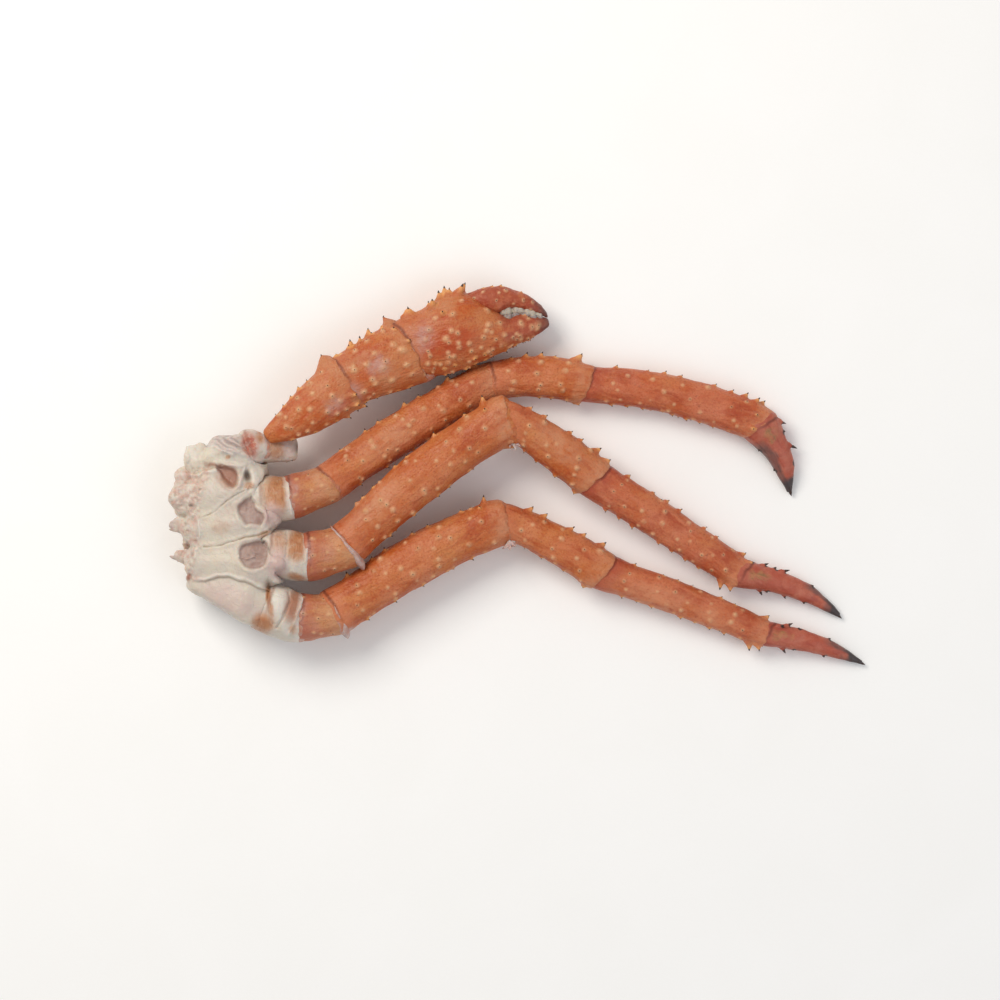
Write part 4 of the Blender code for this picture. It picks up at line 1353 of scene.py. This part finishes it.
# %% Raise the shell and paint its patches
def mapped(piece, top_from):
    """Raise and sink a shell by the map, and paint it. Only what faces up is given seams and hollows."""
    points, normals = points_of(piece), outward(piece)
    spots = wandered(points)
    upper = ease((normals[:, 2] - 0.1) / 0.4) * ease((points[:, 2] / MM - top_from) / TOP_OVER)
    rise = np.zeros(len(points))
    seam, pale_edge = add_lines(rise, points, spots)
    hollow, pit = add_hollows(rise, spots)
    patches = {}
    for name, ovals in PATCHES.items():
        patches[name] = np.zeros(len(points))
        for middle, halves, turn, strength in ovals:
            patches[name] = np.maximum(patches[name], strength * oval(spots, middle, halves, turn, 2.4))
    ragged = patches["ragged"] = ragged_side(points, spots)
    patches["white"] = np.maximum(patches["white"], pale_edge)
    patches["stain"] = np.maximum(patches["stain"], 0.9 * hump(away_from(spots, STAIN_LINE), 1.2))
    folds = np.sin((spots[:, 0] * 0.45 + spots[:, 1] * 0.89) / 2.6 * 2.0 * math.pi
                   + 2.5 * drift(points, 6 * MM, 16))
    rise += 0.9 * folds * patches["grey"]
    # The fold mask is painted shade in the fold valleys; the finish also lightens the crests as painted
    # highlight
    patches["fold"] = patches["grey"] * (0.5 - 0.5 * folds)
    loose = oval(spots, (-176.0, 12.0), (15.0, 9.0), 20, 2.0)
    rise += loose * (1.5 * drift(points, 5.0 * MM, 26) + 0.6 * drift(points, 2.0 * MM, 27))
    rise += ragged * (0.9 * drift(points, 3.2 * MM, 17) + 0.7 * drift(points, 1.5 * MM, 18))
    rise += 0.35 * drift(points, 5.0 * MM, 19)
    points[:, 2] = np.maximum(points[:, 2] + rise * MM * upper, 0.0)
    move_points(piece, points)
    for name, values in {**patches, "seam": seam * upper, "hollow": hollow * upper,
                         "pit": pit * upper}.items():
        paint(piece, name, values)


HIPS = ("leg_1_coxa", "leg_2_coxa", "leg_3_coxa", "claw_coxa", "claw_ischium")
for name in HIPS:
    mapped(limb_pieces[name], HIP_TOP)
print("hips mapped:", len(HIPS))


# %% [markdown]
# ## The half body
# The plain body is remeshed and its plates are levelled into one breastplate. The left side is where the
# crab was broken in two: its edge is uneven, splinters of shell stand out of it, and between the shell's
# walls lie chambers of white meat. The map is worked in last.

# %% Level the plates
ROUGH_VOXEL = 0.9 * MM
BODY_VOXEL = 0.56 * MM
GRID_STEP = 1.0 * MM
CLOSE_REACH = 6           # grid steps over which a valley between two plates is filled
TOP_LEAST = 0.022         # below this height the body's top ends


def spread_extreme(heights, reach, pick):
    """Each grid place takes the highest or lowest value within reach of it."""
    padded = np.pad(heights, reach, mode="edge")
    result = heights.copy()
    for step_x in range(-reach, reach + 1):
        for step_y in range(-reach, reach + 1):
            if step_x * step_x + step_y * step_y <= reach * reach:
                shifted = padded[reach + step_x:reach + step_x + heights.shape[0],
                                 reach + step_y:reach + step_y + heights.shape[1]]
                result = pick(result, shifted)
    return result


def levelled(points, normals):
    """Fill the valleys between the plates, so that their tops make one surface."""
    low = points.min(0) - GRID_STEP
    cells = ((points[:, :2] - low[:2]) / GRID_STEP).astype(int)
    heights = np.zeros(cells.max(0) + 2)
    np.maximum.at(heights, (cells[:, 0], cells[:, 1]), points[:, 2])
    closed = spread_extreme(spread_extreme(heights, CLOSE_REACH, np.maximum), CLOSE_REACH, np.minimum)
    for _ in range(6):
        padded = np.pad(closed, 1, mode="edge")
        closed = (padded[2:, 1:-1] + padded[:-2, 1:-1] + padded[1:-1, 2:] + padded[1:-1, :-2]
                  + closed * 2.0) / 6.0
    target = closed[cells[:, 0], cells[:, 1]]
    upper = ease((normals[:, 2] - 0.15) / 0.4) * ease((points[:, 2] - TOP_LEAST) / (8.0 * MM))
    lift = np.maximum(target - points[:, 2], 0.0) * upper
    points[:, 2] += lift * ease(1.0 - (lift / (14.0 * MM) - 0.5))
    return points


body, _ = plain_copy(BODY, "body_section_shell")
apply_modifier(body, "REMESH", mode="VOXEL", voxel_size=ROUGH_VOXEL)
apply_modifier(body, "SMOOTH", factor=0.5, iterations=12)
points = levelled(points_of(body), outward(body))
for pair, joint in joints.items():
    if pair[0] == BODY:
        points = lipped(points, joint, cut_of(pair[1]))
move_points(body, points)

# %% Splinters and lumps of the broken edge
# foot, direction, half width, length, upright share
SPLINTERS = (
    ((-187.5, -27.0, 24.0), (-0.85, -0.5, 0.05), 4.4, 6.5, 0.40),
    ((-186.5, -45.5, 22.0), (-0.97, -0.1, 0.1), 3.8, 5.0, 0.45),
    ((-179.5, -57.5, 24.0), (-0.9, -0.25, 0.1), 3.6, 5.0, 0.6),
    ((-184.5, -2.0, 17.0), (-0.2, 0.1, 1.0), 6.5, 10.5, 1.0),
    ((-184.0, -36.0, 16.0), (-1.0, 0.0, 0.2), 5.5, 5.0, 0.6),
    ((-188.0, -16.0, 22.0), (-0.9, -0.3, 0.2), 5.0, 4.0, 0.7),
    ((-182.0, -52.0, 16.0), (-1.0, -0.2, 0.1), 4.2, 5.0, 0.6),
    ((-178.5, 11.5, 26.0), (-0.4, 0.4, 0.6), 7.0, 3.0, 1.0),
)
SOFT_BULGES = (           # skin that bulges up between the breastplate and the hips
    ((-137.6, -22.6, 26.0), (0.15, -0.1, 1.0), 5.8, 10.3, 1.3),
    ((-133.8, -49.0, 30.0), (0.1, 0.0, 1.0), 5.8, 10.5, 1.5),
)
flake_shape = drawn_cone("flake_pattern", 12, (
    (1.0, -0.6), (1.05, 0.0), (1.0, 0.4), (0.82, 0.74), (0.5, 0.94), (0.12, 1.0)))
joined(body, [planted(flake_shape, Vector(foot) * MM, way, half * MM, length * MM, thick)
              for foot, way, half, length, thick in SPLINTERS + SOFT_BULGES])
apply_modifier(body, "REMESH", mode="VOXEL", voxel_size=BODY_VOXEL)
apply_modifier(body, "SMOOTH", factor=0.5, iterations=5)
print("body corners:", len(body.data.vertices))


# %% The broken side and the map
# y and z of each chamber's middle, in millimetres
CHAMBERS = ((9.0, 20.0), (-8.0, 19.0), (-21.0, 20.0), (-36.0, 19.0), (-52.0, 19.0))
CHAMBER_HALVES = (5.2, 8.0)

points, normals = points_of(body), outward(body)
facing = ease((-normals[:, 0] - 0.25) / 0.4) * ease((-165.0 - points[:, 0] / MM) / 6.0)
spots = points[:, 1:] / MM + 0.8 * drift_pair(points, 5 * MM, 21)
meat = np.zeros(len(points))
for middle in CHAMBERS:
    meat = np.maximum(meat, oval(spots, middle, CHAMBER_HALVES, 0, 2.5))
meat *= facing
fibres = drift(points * np.array((0.3, 1.0, 1.0)), 1.6 * MM, 23)
points[:, 0] += (2.6 * meat - 0.6 * meat * fibres) * MM
left_side = ease((-172.0 - points[:, 0] / MM) / 8.0)
uneven = 0.9 * drift(points, 6.0 * MM, 24) + 0.7 * drift(points, 2.6 * MM, 25)
points += normals * ((0.25 + 0.75 * left_side) * uneven * (1.0 - ease(normals[:, 2])) * MM)[:, None]
points[:, 2] = np.maximum(points[:, 2], 0.0)
move_points(body, points)
mapped(body, BODY_TOP)
paint(body, "meat", meat)
finished(body, chalk)
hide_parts("body_section")


# %% [markdown]
# ## Soft skin in the joints
# Between two shells a sleeve of soft skin folds inwards. At the knees it is orange and bulges out on the
# inner side, and above the tan pieces of the second and third leg it shows as a whitish, lilac line. Each
# sleeve is a barrel extruded from a circle, bent to its joint and given folds.

# %% Sleeves
barrel = drawn_cone("barrel_pattern", 28, (
    (0.6, -1.0), (0.88, -0.8), (0.97, -0.35), (1.0, 0.0),
    (0.97, 0.35), (0.88, 0.8), (0.6, 1.0), (0.1, 1.05)))
# size against the joint, half length in mm, how much it is pale, and how far its inner side bulges in mm
SLEEVES = {
    ("leg_1_coxa", "leg_1_ischium"): (0.88, 3.0, 0.8, 0.0),
    ("leg_2_coxa", "leg_2_ischium"): (0.88, 3.0, 0.8, 0.0),
    ("leg_3_coxa", "leg_3_ischium"): (0.88, 3.0, 0.6, 0.0),
    ("claw_coxa", "claw_ischium"): (0.86, 2.5, 0.7, 0.0),
    ("leg_1_ischium", "leg_1_merus"): (0.93, 2.4, 0.2, 0.0),
    ("leg_2_ischium", "leg_2_merus"): (1.025, 1.5, 1.0, 2.4),
    ("leg_3_ischium", "leg_3_merus"): (1.025, 1.4, 1.0, 2.0),
    ("leg_1_merus", "leg_1_carpus"): (0.93, 4.0, 0.0, 0.8),
    ("leg_2_merus", "leg_2_carpus"): (0.93, 5.0, 0.0, 1.8),
    ("leg_3_merus", "leg_3_carpus"): (0.93, 5.0, 0.15, 1.4),
    ("claw_merus", "claw_carpus"): (0.92, 5.0, 0.3, 1.0),
    ("claw_carpus", "claw_palm"): (0.91, 6.0, 0.5, 0.8),
}


def sleeve(pair, size, reach, pale, bulge):
    """A soft sleeve in one joint."""
    joint = joints[pair]
    made = planted(barrel, Vector(), (0.0, 0.0, 1.0), 1.0, 1.0)
    made.name = made.data.name = pair[1] + "_joint_skin"
    apply_modifier(made, "SUBSURF", levels=1, render_levels=1)
    flat = points_of(made)
    turn = np.arctan2(flat[:, 1], flat[:, 0])
    folds = 1.0 + 0.018 * np.sin(9 * turn + 4 * flat[:, 2]) + 0.012 * np.sin(17 * turn)
    inner = ease((-flat[:, 0] - 0.4) / 0.5) * (1.0 - flat[:, 2] ** 2).clip(0.0)
    broad = reach * (1.0 + 1.1 * ease(0.1 - flat[:, 0]))
    points = (joint.centre + np.outer(flat[:, 0] * folds * size, joint.left) * joint.wide
              + np.outer(flat[:, 1] * folds * size, joint.top) * joint.deep
              + np.outer(flat[:, 2] * broad, joint.heading) * MM)
    points -= np.outer(inner, joint.left) * bulge * MM
    points = slanted(points, joint, cut_of(pair[1])) + joint.heading * 0.4 * MM
    move_points(made, points)
    paint(made, "pale", pale * (0.8 + 0.5 * drift(points, 3.0 * MM, 51)))
    select_only(made)
    bpy.ops.object.mode_set(mode="EDIT")
    face_outward()
    finished(made, skin)


for pair, numbers in SLEEVES.items():
    sleeve(pair, *numbers)
print("sleeves:", len(SLEEVES))


# %% Torn skin at two knees
# Where a knee was bent back, its skin has torn, and white shreds stand out of the corner.
SHRED_VOXEL = 0.16 * MM


def torn_skin(name, pair, shreds, chance):
    """A tuft of thin, crumpled shreds at the inner side of a knee."""
    joint = joints[pair]
    corner = joint.centre - joint.left * joint.wide * 0.97 + joint.heading * 3.4 * MM
    parts = []
    for _ in range(shreds):
        way = Vector(-joint.left) * chance.uniform(0.3, 1.0)
        way += Vector(joint.heading) * chance.uniform(-0.9, 0.9)
        foot = Vector(corner) + Vector(joint.heading) * chance.uniform(-3.2, 3.2) * MM
        foot += Vector((0.0, 0.0, chance.uniform(0.0, 6.0) * MM))
        way += Vector((0.0, 0.0, chance.uniform(-0.1, 0.7)))
        wide, long = chance.uniform(0.9, 1.7) * MM, chance.uniform(2.6, 6.0) * MM
        parts.append(planted(spine_shape, foot, way, wide, long, 0.45))
    made = joined(parts[0], parts[1:])
    made.name = made.data.name = name
    apply_modifier(made, "REMESH", mode="VOXEL", voxel_size=SHRED_VOXEL)
    points = points_of(made)
    move_points(made, points + outward(made) * (0.12 * MM * drift(points, 0.8 * MM, 31))[:, None])
    paint(made, "pale", np.ones(len(points)))
    finished(made, skin)


torn_skin("knee_2_torn_skin", ("leg_2_merus", "leg_2_carpus"), 4, random.Random(2))
torn_skin("knee_3_torn_skin", ("leg_3_merus", "leg_3_carpus"), 13, random.Random(7))


# %% [markdown]
# ## Teeth of the claw
# Broad chalky teeth line both biting edges, and each has two low cusps. One cusp is extruded from a circle
# and rounded, and pairs of copies are stood on the two edges, where rays from inside the fingers come out.

# %% Two rows of teeth
TOOTH_VOXEL = 0.3 * MM
tooth_shape = drawn_cone("tooth_pattern", 8, (
    (0.8, -0.6), (1.0, 0.0), (1.02, 0.5), (0.9, 0.86), (0.55, 1.0), (0.1, 1.02)))
apply_modifier(tooth_shape, "SUBSURF", levels=1, render_levels=1)
hand_height = points_of(frame["nodes"]["claw_finger"])[:, 2].mean()


def tooth_row(name, piece, side, shares, edge_along, edge_across):
    """Teeth on one biting edge. Side is 1 where they point to the hand's left, and -1 the other way."""
    surface = surface_of(piece)
    chance = random.Random(name)
    parts = []
    starts = np.interp([along for along, _ in shares], edge_along, edge_across)
    cusps = [(along + cusp * size, start, size) for (along, size), start in zip(shares, starts)
             for cusp in (-0.4, 0.4)]
    for along, start, size in cusps:
        flat = WRIST + hand_way * along + hand_side * start
        way = Vector((*(hand_side * side), 0.0))
        place, _, _, _ = surface.ray_cast(Vector((*(flat * MM), hand_height + 1.5 * MM)), way)
        if place:
            tilt = way + Vector((*(hand_way * chance.uniform(-0.15, 0.15)), chance.uniform(-0.1, 0.1)))
            long = (0.6 * size + 1.3) * chance.uniform(0.8, 1.15) * MM
            wide = 0.85 * size * chance.uniform(0.9, 1.1) * MM
            parts.append(planted(tooth_shape, place - way * 0.6 * MM, tilt, wide, long, 1.3))
    made = joined(parts[0], parts[1:])
    made.name = made.data.name = name
    apply_modifier(made, "REMESH", mode="VOXEL", voxel_size=TOOTH_VOXEL)
    apply_modifier(made, "SMOOTH", factor=0.5, iterations=6)
    points = points_of(made)
    move_points(made, points + outward(made) * (0.35 * MM * drift(points, 1.7 * MM, 33))[:, None])
    paint(made, "stain", np.full(len(points), 1.0 if side > 0 else 0.0))
    finished(made, teeth)
    print(name, "cusps:", len(parts))


# where each tooth stands along the hand and half its length, and how the edge runs, in millimetres
tooth_row("claw_lower_teeth", limb_pieces["claw_palm"], 1.0,
          ((57.0, 2.6), (62.0, 2.0), (66.8, 2.2), (71.2, 1.7), (75.0, 1.4)),
          (52.5, 61.0, 69.5, 77.5), (0.5, -0.2, -1.0, -0.8))
tooth_row("claw_upper_teeth", limb_pieces["claw_finger"], -1.0,
          ((56.6, 3.3), (63.6, 3.1), (70.0, 2.7), (74.8, 1.6)),
          (52.0, 60.5, 69.5, 77.5), (18.5, 16.5, 13.2, 7.6))


# %% [markdown]
# ## Blooms
# The last colours are lilac at the wrist and hips, partly skin showing through and partly painted sheen,
# red and tan clouds where the heat was uneven (on the legs' tops the tan is partly painted highlight),
# and whitish ends at two knees.

# %% Paint the blooms
BLOOMS = {                # middle, half lengths and turn of each bloom, in millimetres
    # sheen blooms: lilac patches, partly soft skin showing through and partly painted sheen
    ("claw_carpus", "sheen"): (((-76.5, 61.0), (6.5, 5.5), 30), ((-92.0, 44.5), (7.0, 5.0), 40)),
    ("claw_palm", "sheen"): (((-52.0, 76.0), (6.0, 9.0), -20),),
    ("claw_palm", "glow"): (((-37.0, 73.5), (17.0, 8.5), 24),),
    ("claw_palm", "tan"): (((-40.0, 95.0), (11.0, 4.5), 32),),
    ("claw_carpus", "tan"): (((-70.0, 55.0), (8.0, 13.0), -20), ((-88.0, 62.0), (10.0, 5.0), 35)),
    ("claw_merus", "sheen"): (((-101.0, 38.5), (6.0, 4.5), 30),),
    ("leg_1_ischium", "sheen"): (((-123.6, -9.0), (1.8, 7.5), 8),),
    ("leg_2_ischium", "sheen"): (((-114.6, -43.0), (1.8, 6.5), 6),),
    ("leg_3_ischium", "sheen"): (((-118.8, -78.0), (1.6, 7.5), -10),),
    # lighter tan patches on the legs' upper sides: partly tan shell, partly painted highlight
    ("leg_1_merus", "tan"): (((-70.3, 19.3), (16.0, 8.0), 30),),
    ("leg_2_merus", "tan"): (((-80.0, -18.0), (18.0, 9.0), 42),),
    ("leg_2_carpus", "tan"): (((24.9, 16.5), (17.0, 8.0), -36),),
    ("leg_3_propodus", "tan"): (((78.0, -70.0), (26.0, 8.0), -18), ((112.0, -82.0), (14.0, 8.0), -18)),
    ("leg_2_merus", "pale"): (((-90.5, -49.5), (3.0, 6.0), 20),),
    ("leg_3_merus", "pale"): (((-93.5, -88.0), (7.5, 2.0), 10), ((-99.0, -86.0), (2.0, 4.0), 20)),
}
for (name, kind), ovals in BLOOMS.items():
    points = points_of(limb_pieces[name])
    spots = wandered(points) + 1.5 * drift_pair(points, 4 * MM, 41)
    upper = ease((outward(limb_pieces[name])[:, 2] + 0.2) / 0.5)
    paint(limb_pieces[name], kind,
          upper * np.max([oval(spots, *numbers, 1.5) for numbers in ovals], axis=0))

# %% Clear away the patterns and finish
for part in list(bpy.data.objects):
    if part.name.endswith("_pattern"):
        bpy.data.objects.remove(part)
select_only(body)
